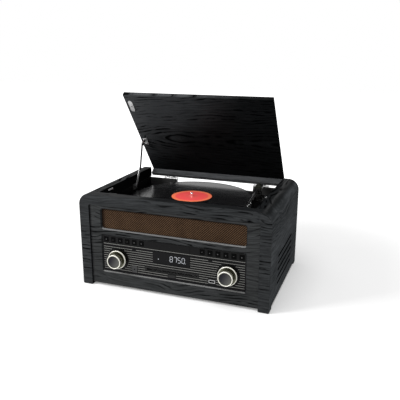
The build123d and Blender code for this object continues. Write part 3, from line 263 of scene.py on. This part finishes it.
cabinet_ash = black_ash("cabinet_black_ash", shell_lie, ash_black, (0.085, 0.091, 0.0965, 1), figure=1.3,
                        shade=shell_shade)
dress(cabinet_ash, "cabinet_shell")

# ---------------------------------------------------------------- front panel
# Board with a window for the grille and one for the controls, glued a little back between the
# walls.  It wears the same veneer with its grain straight across, with a painted highlight on each
# window's lower bevel.
panel_start, panel_edge, panel_up = 0.31, 0.6, 0.07


def panel_lie(x, y, z, nx, ny, nz):
    """Along x, across the height and the edge depth together."""
    return x + panel_start, z + y * panel_edge + panel_up


def lip_painted_highlight(x, y, z, nx, ny, nz):
    """Painted highlight: the lower bevel of each window is painted light, where it faces up to the light.
    """
    return (nz > 0.5) - (nz > 0.9)


front_ash = black_ash("front_black_ash", panel_lie, ash_black, (0.031, 0.0333, 0.0345, 1), figure=1.5,
                      painted_highlight=lip_painted_highlight)
dress(front_ash, "front_panel")

# ---------------------------------------------------------------- lid and batten
# Veneered lid board and the strip under its rear edge that carries the hinges.  The board is darker
# than the cabinet, with painted light that makes it lighter towards one front corner; the strip is a
# greyer piece of ash.
lid_start, lid_run, lid_rise = 0.9, 0.61, 0.79
arch_middle, arch_width, arch_slant = 0.205, 0.0003, 0.06
# Painted light on the lid: its darkest and lightest levels, and how the light rises upwards and to the
# left.
lid_dark_level, lid_light_level = 0.22, 2.42
lit_up, lit_left, lit_from = 3.6, 3.0, 1.1


def lid_lie(x, y, z, nx, ny, nz):
    """Along x, across the slope, with the growth lines closing in long arches round one line."""
    slope = y * -lid_run + z * lid_rise - arch_middle
    return x + lid_start, (slope * slope + arch_width).root() - x * arch_slant


def batten_lie(x, y, z, nx, ny, nz):
    """Along x, across the slope."""
    return x + lid_start, y * lid_run + z * lid_rise


def lid_painted_light(x, y, z, nx, ny, nz):
    """Painted light: the board is painted lighter, with a stronger sheen, towards its front corner on
    the stay's side, and darker elsewhere.
    """
    lit_share = (z * lit_up - x * lit_left - lit_from).step(0.0, 0.95)
    return lit_share * (lid_light_level - lid_dark_level) + lid_dark_level


lid_ash = black_ash("lid_black_ash", lid_lie, (0.0006, 0.0007, 0.0008, 1), (0.036, 0.0385, 0.041, 1),
                    figure=1.8, swirl=0.7, shade=lid_painted_light, sheen=0.14)
dress(lid_ash, "lid_board")
batten_ash = black_ash("batten_grey_ash", batten_lie, (0.01, 0.01, 0.011, 1), (0.11, 0.115, 0.12, 1),
                       figure=0.5, sheen=0.3)
dress(batten_ash, "lid_batten")


# ---------------------------------------------------------------- boards out of sight
# Bottom board of bare fibreboard between the walls, a baffle behind the front panel that carries the
# loudspeakers, and a rear panel screwed to the back.  These last two are painted black.
def plain(name, colour, rough, metal=0.0, **more):
    """One even finish."""
    fibre = start_finish(name)
    return end_finish(fibre, name, Base_Color=(*colour, 1), Roughness=rough, Metallic=metal, **more)


dress(plain("bare_fibreboard", (0.22, 0.15, 0.09), 0.8), "bottom_board")
black_board = plain("black_painted_board", (0.012, 0.012, 0.012), 0.6)
dress(black_board, "rear_panel", "speaker_baffle")

# ---------------------------------------------------------------- foot pads
# Four pads of black felt, cut to the outline of the legs and glued under them, so that the cabinet
# stands soft on a shelf.
dress(plain("black_felt", (0.01, 0.01, 0.01), 0.95), "foot_pads")


# ---------------------------------------------------------------- grille cloth
# Twill of tan and dark brown threads stretched over the baffle; the diagonals come from the way
# each weft thread passes over two warps and under two, one step further on every row.
def surface(name, points, wrap_rows=False, wrap_columns=False):
    """Mesh over a grid of points of shape (rows, columns, 3): every four neighbours are the corners
    of a face, and the last row or column can join the first."""
    rows, columns = points.shape[:2]
    index = np.arange(rows * columns).reshape(rows, columns)
    if wrap_rows:
        index = np.vstack([index, index[:1]])
    if wrap_columns:
        index = np.hstack([index, index[:, :1]])
    corners = [index[:-1, :-1], index[1:, :-1], index[1:, 1:], index[:-1, 1:]]
    mesh = bpy.data.meshes.new(name)
    mesh.from_pydata(points.reshape(-1, 3), [], np.stack(corners, axis=-1).reshape(-1, 4))
    piece = bpy.data.objects.new(name, mesh)
    bpy.context.collection.objects.link(piece)
    return piece


def tidy(piece, smooth=True, merge=1e-6):
    """Join doubled points, turn the faces outwards and set the shading."""
    work = bmesh.new()
    work.from_mesh(piece.data)
    bmesh.ops.remove_doubles(work, verts=work.verts, dist=merge)
    bmesh.ops.recalc_face_normals(work, faces=work.faces)
    work.to_mesh(piece.data)
    work.free()
    piece.data.polygons.foreach_set("use_smooth", np.full(len(piece.data.polygons), smooth))
    return piece


def finish_piece(piece, material, body):
    """Give a new piece its material and the body that it rides on."""
    piece.data.materials.append(material)
    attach(piece, body)


thread, thread_rise, cloth_inset = 0.0013, 0.00035, 0.0003
twill_step = 4 * thread
cloth_columns, cloth_rows = 790, 110
cloth_low, cloth_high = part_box("grille_cloth")
grid_x, grid_z = np.meshgrid(np.linspace(cloth_low.x, cloth_high.x, cloth_columns),
                             np.linspace(cloth_low.z, cloth_high.z, cloth_rows))
# A thread stands forward as a sine's hump across its width.  The upright warp shows where a wave
# along the diagonal is positive, and the weft elsewhere.
warp_over = np.sin(2 * math.pi * (grid_x - grid_z) / twill_step) > 0
ribs = np.abs(np.sin(math.pi * np.where(warp_over, grid_x, grid_z) / thread))
cloth_face = np.stack([grid_x, cloth_low.y + cloth_inset - thread_rise * ribs, grid_z], axis=-1)
cloth_back = cloth_face[[-1, 0]].copy()
cloth_back[..., 1] = cloth_high.y
cloth = tidy(surface("woven_grille_cloth", np.concatenate([cloth_face, cloth_back]), wrap_rows=True),
             smooth=False)
fleck_rate, wear_rate = 1300.0, 30.0
window_down, shade_left, shade_top, shaded = 0.0337, (0.001, 0.008), (0.0, 0.005), 0.2
window_left, window_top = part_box("trim_lines")[0].x, shell_high.z - window_down
weft = start_finish("brown_twill")
x, y, z, nx, ny, nz = weft.place()
twill = ((x - z) * (2 * math.pi / twill_step)).wave()
fleck = weft.noise(x * fleck_rate, 0.0, z * fleck_rate, 1.0).step(0.36, 0.56)
worn = weft.noise(x * wear_rate, 0.0, z * wear_rate, 2.0)
# Painted shadow: the cloth is painted darker near the window's left and top edges, where they shade it.
unshadowed = (x - window_left).step(*shade_left) * (window_top - z).step(*shade_top)
tan = twill.step(0.45, 0.95) * fleck * (0.55 + worn * 0.9) * (unshadowed * (1.0 - shaded) + shaded)
tan = tan.between((0.012, 0.0065, 0.004, 1), (0.165, 0.098, 0.055, 1))
twill_cloth = end_finish(weft, "brown_twill", Base_Color=tan, Roughness=0.9, Specular_IOR_Level=0.05)
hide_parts("grille_cloth")
finish_piece(cloth, twill_cloth, "cabinet")

# ---------------------------------------------------------------- loudspeakers
# Two small drivers with black paper cones in painted baskets, screwed to the baffle behind the
# cloth.
dress(plain("black_paper_cone", (0.012, 0.012, 0.012), 0.8), "speakers")

# ---------------------------------------------------------------- control fascia
# Polished black moulding with a painted reflection that makes the strip behind the keys a shade
# lighter, and a dark grey plate round the disc slot.
plate_sides, plate_edges = (0.064, 0.066), (0.0042, 0.0046)
slot_over_eject, strip_under_keys = 0.0059, 0.003
slot_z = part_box("eject_key")[1].z + slot_over_eject
strip_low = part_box("key_01")[0].z - strip_under_keys
polish = start_finish("piano_black")
x, y, z, nx, ny, nz = polish.place()
slot_plate = (1.0 - abs(x).step(*plate_sides)) * (1.0 - abs(z - slot_z).step(*plate_edges))
# Painted reflection: the strip behind the keys is a shade lighter.
key_strip_reflection = z.step(strip_low, strip_low + 0.0005)
moulding = key_strip_reflection.between((0.0035, 0.0035, 0.004, 1), (0.0058, 0.0058, 0.006, 1))
moulding = slot_plate.between(moulding, (0.022, 0.022, 0.022, 1))
piano_black = end_finish(polish, "piano_black", Base_Color=moulding, Roughness=0.2, Specular_IOR_Level=0.08)
dress(piano_black, "control_fascia")

# ---------------------------------------------------------------- trim lines
# Thin lines of bright foil, hot-pressed on the fascia in rows that set off the keys, the display and
# the disc slot.
dress(plain("bright_foil", (0.17, 0.17, 0.16), 0.4, 0.6), "trim_lines")

# ---------------------------------------------------------------- display
# Smoked window set in the fascia, with white segment figures lit behind it and a small dot that
# shows when a station is tuned.
dress(plain("smoked_window", (0.0035, 0.0035, 0.004), 0.12, Specular_IOR_Level=0.1), "display_lens")


def cut_sheet(name, outlines, y_front, y_back):
    """Flat pieces facing the front: each outline of (x, z) points is carried from y_front to y_back
    and closed by a face at either end."""
    points, faces, base = [], [], 0
    for outline in outlines:
        across, up = np.asarray(outline, float).T
        front = base + np.arange(len(across))
        back = front + len(across)
        points += [np.stack([across, np.full(len(across), y), up], axis=-1) for y in (y_front, y_back)]
        faces += [front.tolist(), back[::-1].tolist()]
        faces += np.stack([front, back, np.roll(back, -1), np.roll(front, -1)], axis=-1).tolist()
        base += 2 * len(across)
    mesh = bpy.data.meshes.new(name)
    mesh.from_pydata(np.concatenate(points), [], faces)
    piece = bpy.data.objects.new(name, mesh)
    bpy.context.collection.objects.link(piece)
    return tidy(piece, smooth=False, merge=1e-9)


lens_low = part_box("display_lens")[0]
figure_h, figure_w, figure_pitch, stroke, slant = 0.0125, 0.0064, 0.0096, 0.00095, 0.06
figures_left, figure_z = -0.0035, lens_low.z + 0.0068
point_gap, point_r = 0.0022, 0.0007
tuned_x, tuned_z, tuned_r = -0.0317, lens_low.z + 0.0092, 0.001
segments = {"top": ((0, 2), (1, 2)), "right_up": ((1, 1), (1, 2)), "right_down": ((1, 0), (1, 1)),
            "bottom": ((0, 0), (1, 0)), "left_down": ((0, 0), (0, 1)), "left_up": ((0, 1), (0, 2)),
            "middle": ((0, 1), (1, 1))}
figures = {8: list(segments), 7: ["top", "right_up", "right_down"],
           5: ["top", "left_up", "middle", "right_down", "bottom"],
           0: [segment for segment in segments if segment != "middle"]}
station = (8, 7, 5, 0)


def segment_outline(left, segment):
    """Six-cornered bar between two corners of the figure, pointed at both ends and leant over."""
    size = np.array([figure_w, figure_h / 2])
    a, b = (np.array([left, figure_z]) + np.array(end) * size for end in segments[segment])
    run = (b - a) / np.linalg.norm(b - a)
    side = np.array([-run[1], run[0]]) * stroke / 2
    a, b, point = a + run * stroke * 0.35, b - run * stroke * 0.35, run * stroke / 2
    outline = np.array([a, a + point + side, b - point + side, b, b - point - side, a + point - side])
    outline[:, 0] += (outline[:, 1] - figure_z) * slant
    return outline


lefts = figures_left + figure_pitch * np.arange(len(station))
lit = [segment_outline(left, bar) for left, figure in zip(lefts, station) for bar in figures[figure]]
turn = np.linspace(0, 2 * math.pi, 13)[:-1]
unit_ring = np.stack([np.cos(turn), np.sin(turn)], axis=-1)
lit += [np.array([lefts[-1] + figure_w + point_gap, figure_z]) + point_r * unit_ring,
        np.array([tuned_x, tuned_z]) + tuned_r * unit_ring]
figure_rise, paint_bite = 0.00012, 0.0001
display_figures = cut_sheet("display_figures", lit, lens_low.y - figure_rise, lens_low.y + paint_bite)
white_figures = plain("white_figures", (0.45, 0.47, 0.5), 0.5, Emission_Color=(0.8, 0.84, 0.9, 1),
                      Emission_Strength=0.12)
finish_piece(display_figures, white_figures, "cabinet")

# ---------------------------------------------------------------- keys
# Gloss black push keys, six at either end of the fascia's top row, each with a small printed mark,
# and a grey eject key under the disc slot.  All of them spring back.
def upright(middle_x, middle_z, half_w, half_h):
    """Corners of an upright rectangle."""
    left, right, low, high = middle_x - half_w, middle_x + half_w, middle_z - half_h, middle_z + half_h
    return [(left, low), (right, low), (right, high), (left, high)]


key_names = sorted(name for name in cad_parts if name.startswith("key_"))
dress(plain("key_gloss_black", (0.0012, 0.0012, 0.0013), 0.12, Specular_IOR_Level=0.03), *key_names)
dress(plain("eject_key_grey", (0.022, 0.022, 0.022), 0.3, Specular_IOR_Level=0.1), "eject_key")
mark_paint = plain("printed_mark", (0.055, 0.055, 0.055), 0.5)
mark_half, mark_rise = 0.0013, 0.00006
marks = {"ring": [unit_ring], "bar": [upright(0, 0, 1, 0.25)], "square": [upright(0, 0, 0.8, 0.8)],
         "right": [[(-0.8, -0.9), (0.9, 0), (-0.8, 0.9)]],
         "left": [[(0.8, -0.9), (0.8, 0.9), (-0.9, 0)]],
         "pair": [upright(-0.525, 0, 0.275, 0.9), upright(0.525, 0, 0.275, 0.9)]}
mark_order = ["ring", "bar", "pair", "bar", "ring", "square",
              "left", "right", "square", "pair", "bar", "ring"]
for key_name, mark_name in zip(key_names, mark_order):
    low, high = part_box(key_name)
    middle = (low + high) / 2
    outlines = [np.array(outline) * mark_half + (middle.x, middle.z) for outline in marks[mark_name]]
    mark = cut_sheet("mark_" + key_name, outlines, low.y - mark_rise, low.y + paint_bite)
    finish_piece(mark, mark_paint, "k" + key_name[-2:])


# ---------------------------------------------------------------- knobs
# Turned knobs of two tiers, dark lacquered, each tier with a bright polished ring on its front
# edge, and a dished dark cap in the nose with a painted reflection that lightens its lower right.
def turned_y(name, centre_x, centre_z, profile, sides=64):
    """Turned piece about a front-to-back axis: each (radius, y) pair of the profile becomes a circle
    round the axis at that y."""
    radius, depth = profile[:, :1], profile[:, 1:]
    angle = np.linspace(0, 2 * math.pi, sides + 1)[:-1]
    across, up = centre_x + radius * np.cos(angle), centre_z + radius * np.sin(angle)
    return tidy(surface(name, np.stack([across, depth + 0 * angle, up], axis=-1), wrap_columns=True))


def ring_profile(inner, outer, front, back, steps=10):
    """Closed section of a ring: flat back, front rounded as half an ellipse."""
    arc = np.linspace(0, math.pi, steps)
    middle, half, rounding = (inner + outer) / 2, (outer - inner) / 2, (back - front) * 0.45
    crown = np.stack([middle - half * np.cos(arc), front + rounding * (1 - np.sin(arc))], axis=-1)
    return np.vstack([[inner, back], crown, [outer, back]])


# Inner and outer radius of each ring, and how far behind the knob's nose its front and back lie.
knob_rings = {"ring_outer_": (0.0198, 0.0220, 0.0147, 0.0175),
              "ring_inner_": (0.0146, 0.0168, -0.0008, 0.0022)}
cap_r, cap_back, cap_middle, cap_dish = 0.0147, 0.0020, 0.0019, 0.0016
# How fast the caps' painted reflection brightens to the right and downwards.
shine_right, shine_down = 30.0, 14.0
knob_dark = plain("knob_black_nickel", (0.07, 0.07, 0.042), 0.2, 0.9, Coat_Weight=0.5, Coat_Roughness=0.1)
dress(knob_dark, "knob_left", "knob_right")
knob_chrome = plain("knob_polished_ring", (0.86, 0.85, 0.77), 0.35, 0.2)
for body, node in (("knob_l", "knob_left"), ("knob_r", "knob_right")):
    low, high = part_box(node)
    middle, nose = (low + high) / 2, low.y
    for name, (inner, outer, front, back) in knob_rings.items():
        profile = ring_profile(inner, outer, nose + front, nose + back)
        finish_piece(turned_y(name + node, middle.x, middle.z, profile), knob_chrome, body)
    reach = np.linspace(0, cap_r, 14)
    dish = np.stack([reach, nose + cap_middle - cap_dish * (reach / cap_r) ** 2], axis=-1)
    cap_profile = np.vstack([dish, [cap_r, nose + cap_back], [0.0, nose + cap_back]])
    cap = turned_y("cap_" + node, middle.x, middle.z, cap_profile)
    cap_paint = start_finish("cap_painted_reflection_" + node)
    x, y, z, nx, ny, nz = cap_paint.place()
    # Painted reflection: each cap is painted lighter towards its lower right.
    painted_shine = ((x - middle.x) * shine_right - (z - middle.z) * shine_down + 0.5).step(0.1, 1.0)
    cap_reflection = painted_shine.between((0.008, 0.008, 0.013, 1), (0.085, 0.085, 0.08, 1))
    cap_finish = end_finish(cap_paint, "cap_painted_reflection_" + node, Base_Color=cap_reflection, Roughness=0.25,
                            Specular_IOR_Level=0.15)
    finish_piece(cap, cap_finish, body)


# ---------------------------------------------------------------- sockets and electronics
# Sockets in black moulding, the one for a memory stick in a folded steel shell.  The disc drive, the
# boards and the transformer are screwed down inside the cabinet.
def cut_frame(name, outer, inner, y_front, y_back):
    """Flat frame facing the front: the section from the outer outline's back edge to its front edge
    and over to the inner outline's front and back edges, carried round the (x, z) corners."""
    section = [(outer, y_back), (outer, y_front), (inner, y_front), (inner, y_back)]
    rings = [np.insert(np.asarray(outline, float), 1, y, axis=1) for outline, y in section]
    return tidy(surface(name, np.stack(rings), wrap_rows=True, wrap_columns=True), smooth=False)


dress(plain("socket_moulding", (0.01, 0.01, 0.011), 0.35), "front_sockets", "rear_sockets")
plated_steel = plain("plated_steel", (0.5, 0.5, 0.5), 0.35, 0.9)
dress(plated_steel, "cd_drive", "deck_motor")
dress(plain("green_laminate", (0.02, 0.12, 0.05), 0.5), "control_board", "amplifier_board")
dress(plain("lacquered_iron", (0.06, 0.06, 0.065), 0.5, 0.5), "power_supply")
usb_outer, usb_inner, usb_rise, usb_bite = (0.0071, 0.0036), (0.0062, 0.0026), 0.0003, 0.0005
usb_from_end, usb_up = 0.0078, 0.0524
sockets_low, sockets_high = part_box("front_sockets")
usb_middle = (sockets_high.x - usb_from_end, usb_up)
usb_shell = cut_frame("usb_shell", upright(*usb_middle, *usb_outer), upright(*usb_middle, *usb_inner),
                      sockets_low.y - usb_rise, sockets_low.y + usb_bite)
finish_piece(usb_shell, plated_steel, "cabinet")

# ---------------------------------------------------------------- deck
# Satin black moulded deck with low walls that line the well, screwed to the side rails.  An
# aluminium platter with a rubber mat turns on it, driven through a belt by a brass pulley.
grain_rate, grain_depth = 1400.0, 0.00006
moulded = start_finish("deck_satin_black")
x, y, z, nx, ny, nz = moulded.place()
grain = moulded.noise(x * grain_rate, y * grain_rate, z * grain_rate)
deck_satin = end_finish(moulded, "deck_satin_black", Base_Color=(0.002, 0.002, 0.0022, 1), Roughness=0.45,
                        Normal=grain.relief(grain_depth), Specular_IOR_Level=0.06)
dress(deck_satin, "deck_tray")
dress(plain("turned_aluminium", (0.6, 0.6, 0.6), 0.3, 1.0), "platter")
dress(plain("black_rubber", (0.012, 0.012, 0.012), 0.7), "platter_mat", "drive_belt")
dress(plain("turned_brass", (0.62, 0.45, 0.16), 0.3, 1.0), "motor_pulley")

# ---------------------------------------------------------------- record
# Pressed vinyl, high gloss, with bands of grooves; paper label in coral with a peach rim, and the
# polished centre pin.
record_low, record_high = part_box("record")
pin = (record_low + record_high) / 2
groove_rate, groove_depth, band_rate = 9000.0, 0.000004, 160.0
groove_start, groove_end = (0.052, 0.0535), (0.1465, 0.1475)
label_rim, label_hub = (0.0405, 0.0415), (0.0165, 0.0172)


def from_pin(fibre):
    """Distance of a point from the centre pin, in metres."""
    x, y, z, nx, ny, nz = fibre.place()
    dx, dy = x - pin.x, y - pin.y
    return (dx * dx + dy * dy).root()


vinyl = start_finish("pressed_vinyl")
reach = from_pin(vinyl)
band = vinyl.noise(reach * band_rate, 0.0, 0.0, 1.0).step(0.35, 0.65)
play = reach.step(*groove_start) * (1.0 - reach.step(*groove_end))
grooves = (reach * groove_rate).wave() * play
black_vinyl = end_finish(vinyl, "pressed_vinyl", Base_Color=(0.006, 0.006, 0.0065, 1),
                         Roughness=0.1 + play * (0.08 + band * 0.05), Specular_IOR_Level=0.3,
                         Normal=grooves.relief(groove_depth))
dress(black_vinyl, "record")
paper = start_finish("coral_label")
reach = from_pin(paper)
coral = (1.0 - reach.step(*label_hub)).between((0.9, 0.085, 0.085, 1), (0.84, 0.1, 0.09, 1))
coral = reach.step(*label_rim).between(coral, (0.93, 0.2, 0.09, 1))
dress(end_finish(paper, "coral_label", Base_Color=coral, Roughness=0.55), "record_label")
bright_metal = plain("polished_metal", (0.8, 0.8, 0.8), 0.12, 1.0)
dress(bright_metal, "spindle", "cue_lever")

# ---------------------------------------------------------------- tonearm
# Black satin tube with a gloss black headshell and an olive lacquered counterweight, lifting in a
# yoke that swings on a gloss black turret.  A bent wire on the headshell is the finger lift.
dress(plain("arm_gloss_black", (0.01, 0.01, 0.01), 0.25), "tonearm_base", "headshell")
dress(plain("arm_black_satin", (0.02, 0.02, 0.02), 0.3, 0.5), "tonearm")
dress(plain("yoke_satin_black", (0.012, 0.012, 0.012), 0.35), "tonearm_yoke")
dress(plain("weight_lacquer", (0.03, 0.032, 0.024), 0.3, 0.2), "counterweight")
dress(plain("switch_satin_black", (0.012, 0.012, 0.012), 0.4), "speed_switch", "power_switch")
wire_r, wire_flat = 0.0007, 0.7
wire_run, wire_curl = np.array([0.0075, 0.0, 0.0075]), np.array([0.001, 0.0, 0.0015])
head_low, head_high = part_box("headshell")
wire_foot = np.array([head_low.x + 0.009, head_low.y + 0.016, head_high.z - 0.0005])
# The wire's middle is its foot, plus the run times the share of the way, plus the curl times the
# share squared; rings of no radius close its ends.
share = np.array([0, *np.linspace(0, 1, 7), 1])[:, None]
swell = np.array([0, *np.ones(7), 0])[:, None, None]
round_wire = np.linspace(0, 2 * math.pi, 11)[:-1]
wire_side, wire_front = np.cos(round_wire) * wire_flat, np.sin(round_wire)
wire_ring = wire_r * np.stack([wire_side, wire_front, -wire_side], axis=-1)
wire_middle = wire_foot + share * wire_run + share ** 2 * wire_curl
finger_lift = tidy(surface("finger_lift", wire_middle[:, None] + swell * wire_ring, wrap_columns=True))
finish_piece(finger_lift, bright_metal, "arm")

# ---------------------------------------------------------------- hinges, stay and catch
# Plated steel hinge leaves, screwed on, and a folding stay, riveted at its knee, with a black upper
# link.  A magnet catch with a bright tab holds the lid by its brushed strike plate.
plated_leaf = plain("zinc_plated_steel", (0.62, 0.62, 0.62), 0.3, 1.0)
dress(plated_leaf, "hinge_leaves_body", "hinge_leaves_lid", "stay_lid_bracket")
dress(plain("grey_zinc", (0.3, 0.3, 0.3), 0.35, 0.5), "stay_lower_link")
dress(plain("dark_zinc", (0.1, 0.1, 0.1), 0.3, 0.6), "stay_wall_bracket")
dress(plain("black_steel_link", (0.015, 0.015, 0.015), 0.35, 0.5), "stay_upper_link")
dress(plain("catch_moulding", (0.015, 0.015, 0.015), 0.35), "catch")
dress(plain("black_screw", (0.015, 0.015, 0.015), 0.4, 0.6), "screws")
screw_edge, plate_fade = (0.0016, 0.0032), (-0.004, 0.034)
plate_low, plate_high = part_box("strike_plate")
screw_middle = (plate_low + plate_high) / 2
brushed = start_finish("brushed_strike_plate")
x, y, z, nx, ny, nz = brushed.place()
dx, dy, dz = x - screw_middle.x, y - screw_middle.y, z - screw_middle.z
sheet = (z - plate_low.z).step(*plate_fade).between((0.3, 0.3, 0.3, 1), (0.62, 0.62, 0.62, 1))
sheet = (dx * dx + dy * dy + dz * dz).root().step(*screw_edge).between((0.1, 0.1, 0.1, 1), sheet)
dress(end_finish(brushed, "brushed_strike_plate", Base_Color=sheet, Roughness=0.45, Metallic=0.5),
      "strike_plate")
tab_thick, tab_half_w, tab_half_h, tab_up = 0.0008, 0.0105, 0.0018, 0.0075
catch_low, catch_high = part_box("catch")
tab_outline = upright(catch_low.x + tab_thick / 2, catch_high.z + tab_up, tab_thick / 2, tab_half_h)
catch_tab = cut_sheet("catch_tab", [tab_outline], catch_high.y - tab_half_w, catch_high.y + tab_half_w)
finish_piece(catch_tab, plain("catch_tab_zinc", (0.6, 0.6, 0.6), 0.4, 0.2), "cabinet")


# ---------------------------------------------------------------- table and room
# White table that fades into a white room.  Both look white to the eye and in what shines, while
# they light the object at a plain level.
def seen(fibre):
    """1 for what the camera sees, straight or by way of a shine or a glass, and 0 for other light."""
    straight, gloss, glass = (fibre.node("ShaderNodeLightPath", {}, {}, out="Is " + ray + " Ray")
                              for ray in ("Camera", "Glossy", "Transmission"))
    return fibre.math("MAXIMUM", fibre.math("MAXIMUM", straight, gloss), glass)


black, white = (0, 0, 0, 1), (1, 1, 1, 1)
table_half, table_near, table_far, shadow_level, room_level = 6.0, 0.45, 1.3, 0.25, 0.5
grid_x, grid_y = np.meshgrid([-table_half, table_half], [-table_half, table_half])
table = surface("table", np.stack([grid_x, grid_y, 0 * grid_x], axis=-1))
paint = start_finish("white_table")
x, y, z, nx, ny, nz = paint.place()
away = (x * x + y * y).root().step(table_near, table_far)
lift = (away * (1.0 - shadow_level) + shadow_level) * seen(paint)
table.data.materials.append(end_finish(paint, "white_table", Base_Color=(0.8, 0.8, 0.8, 1), Roughness=0.9,
                                       Specular_IOR_Level=0.0, Emission_Color=lift.between(black, white),
                                       Emission_Strength=1.0))
scene = bpy.context.scene
scene.world = bpy.data.worlds.new("white_room")
scene.world.use_nodes = True
room = Fibre(scene.world.node_tree)
air = seen(room) * (1.0 - room_level) + room_level
background = room.tree.nodes["Background"]
background.inputs["Color"].default_value = white
room.tree.links.new(air.socket, background.inputs["Strength"])


# ---------------------------------------------------------------- lamps and camera
# Soft light from a square lamp at the left and a larger one above, and a camera at the right front,
# held a little above the cabinet and looking down on it.
def softbox(name, place, aim, size, power):
    """Square area lamp at place, facing aim."""
    lamp = bpy.data.lights.new(name, "AREA")
    lamp.shape, lamp.size, lamp.energy = "SQUARE", size, power
    holder = bpy.data.objects.new(name, lamp)
    bpy.context.collection.objects.link(holder)
    holder.location = place
    holder.rotation_euler = (Vector(aim) - Vector(place)).to_track_quat("-Z", "Y").to_euler()


softbox("key_light", place=(-1.6, -1.3, 1.35), aim=(0, 0, 0.15), size=0.7, power=40)
softbox("top_light", place=(0.1, -0.5, 2.2), aim=(0, 0, 0.1), size=1.6, power=22)

eye_right, eye_before, eye_up = 0.43272, 1.00124, 0.54426
eye = Vector((eye_right, shell_low.y - eye_before, eye_up))
# In radians: how far the camera is turned left, tipped down and leant over.
yaw, pitch, roll = 0.3473, 0.2801, 0.0036
level = Matrix.Rotation(yaw, 4, "Z") @ Matrix.Rotation(math.pi / 2 - pitch, 4, "X")
camera = bpy.data.objects.new("camera", bpy.data.cameras.new("camera"))
bpy.context.collection.objects.link(camera)
camera.matrix_world = Matrix.Translation(eye) @ level @ Matrix.Rotation(roll, 4, "Z")
camera.data.sensor_width, camera.data.lens = 36, 47.4
scene.camera = camera
scene.view_settings.view_transform = "Standard"
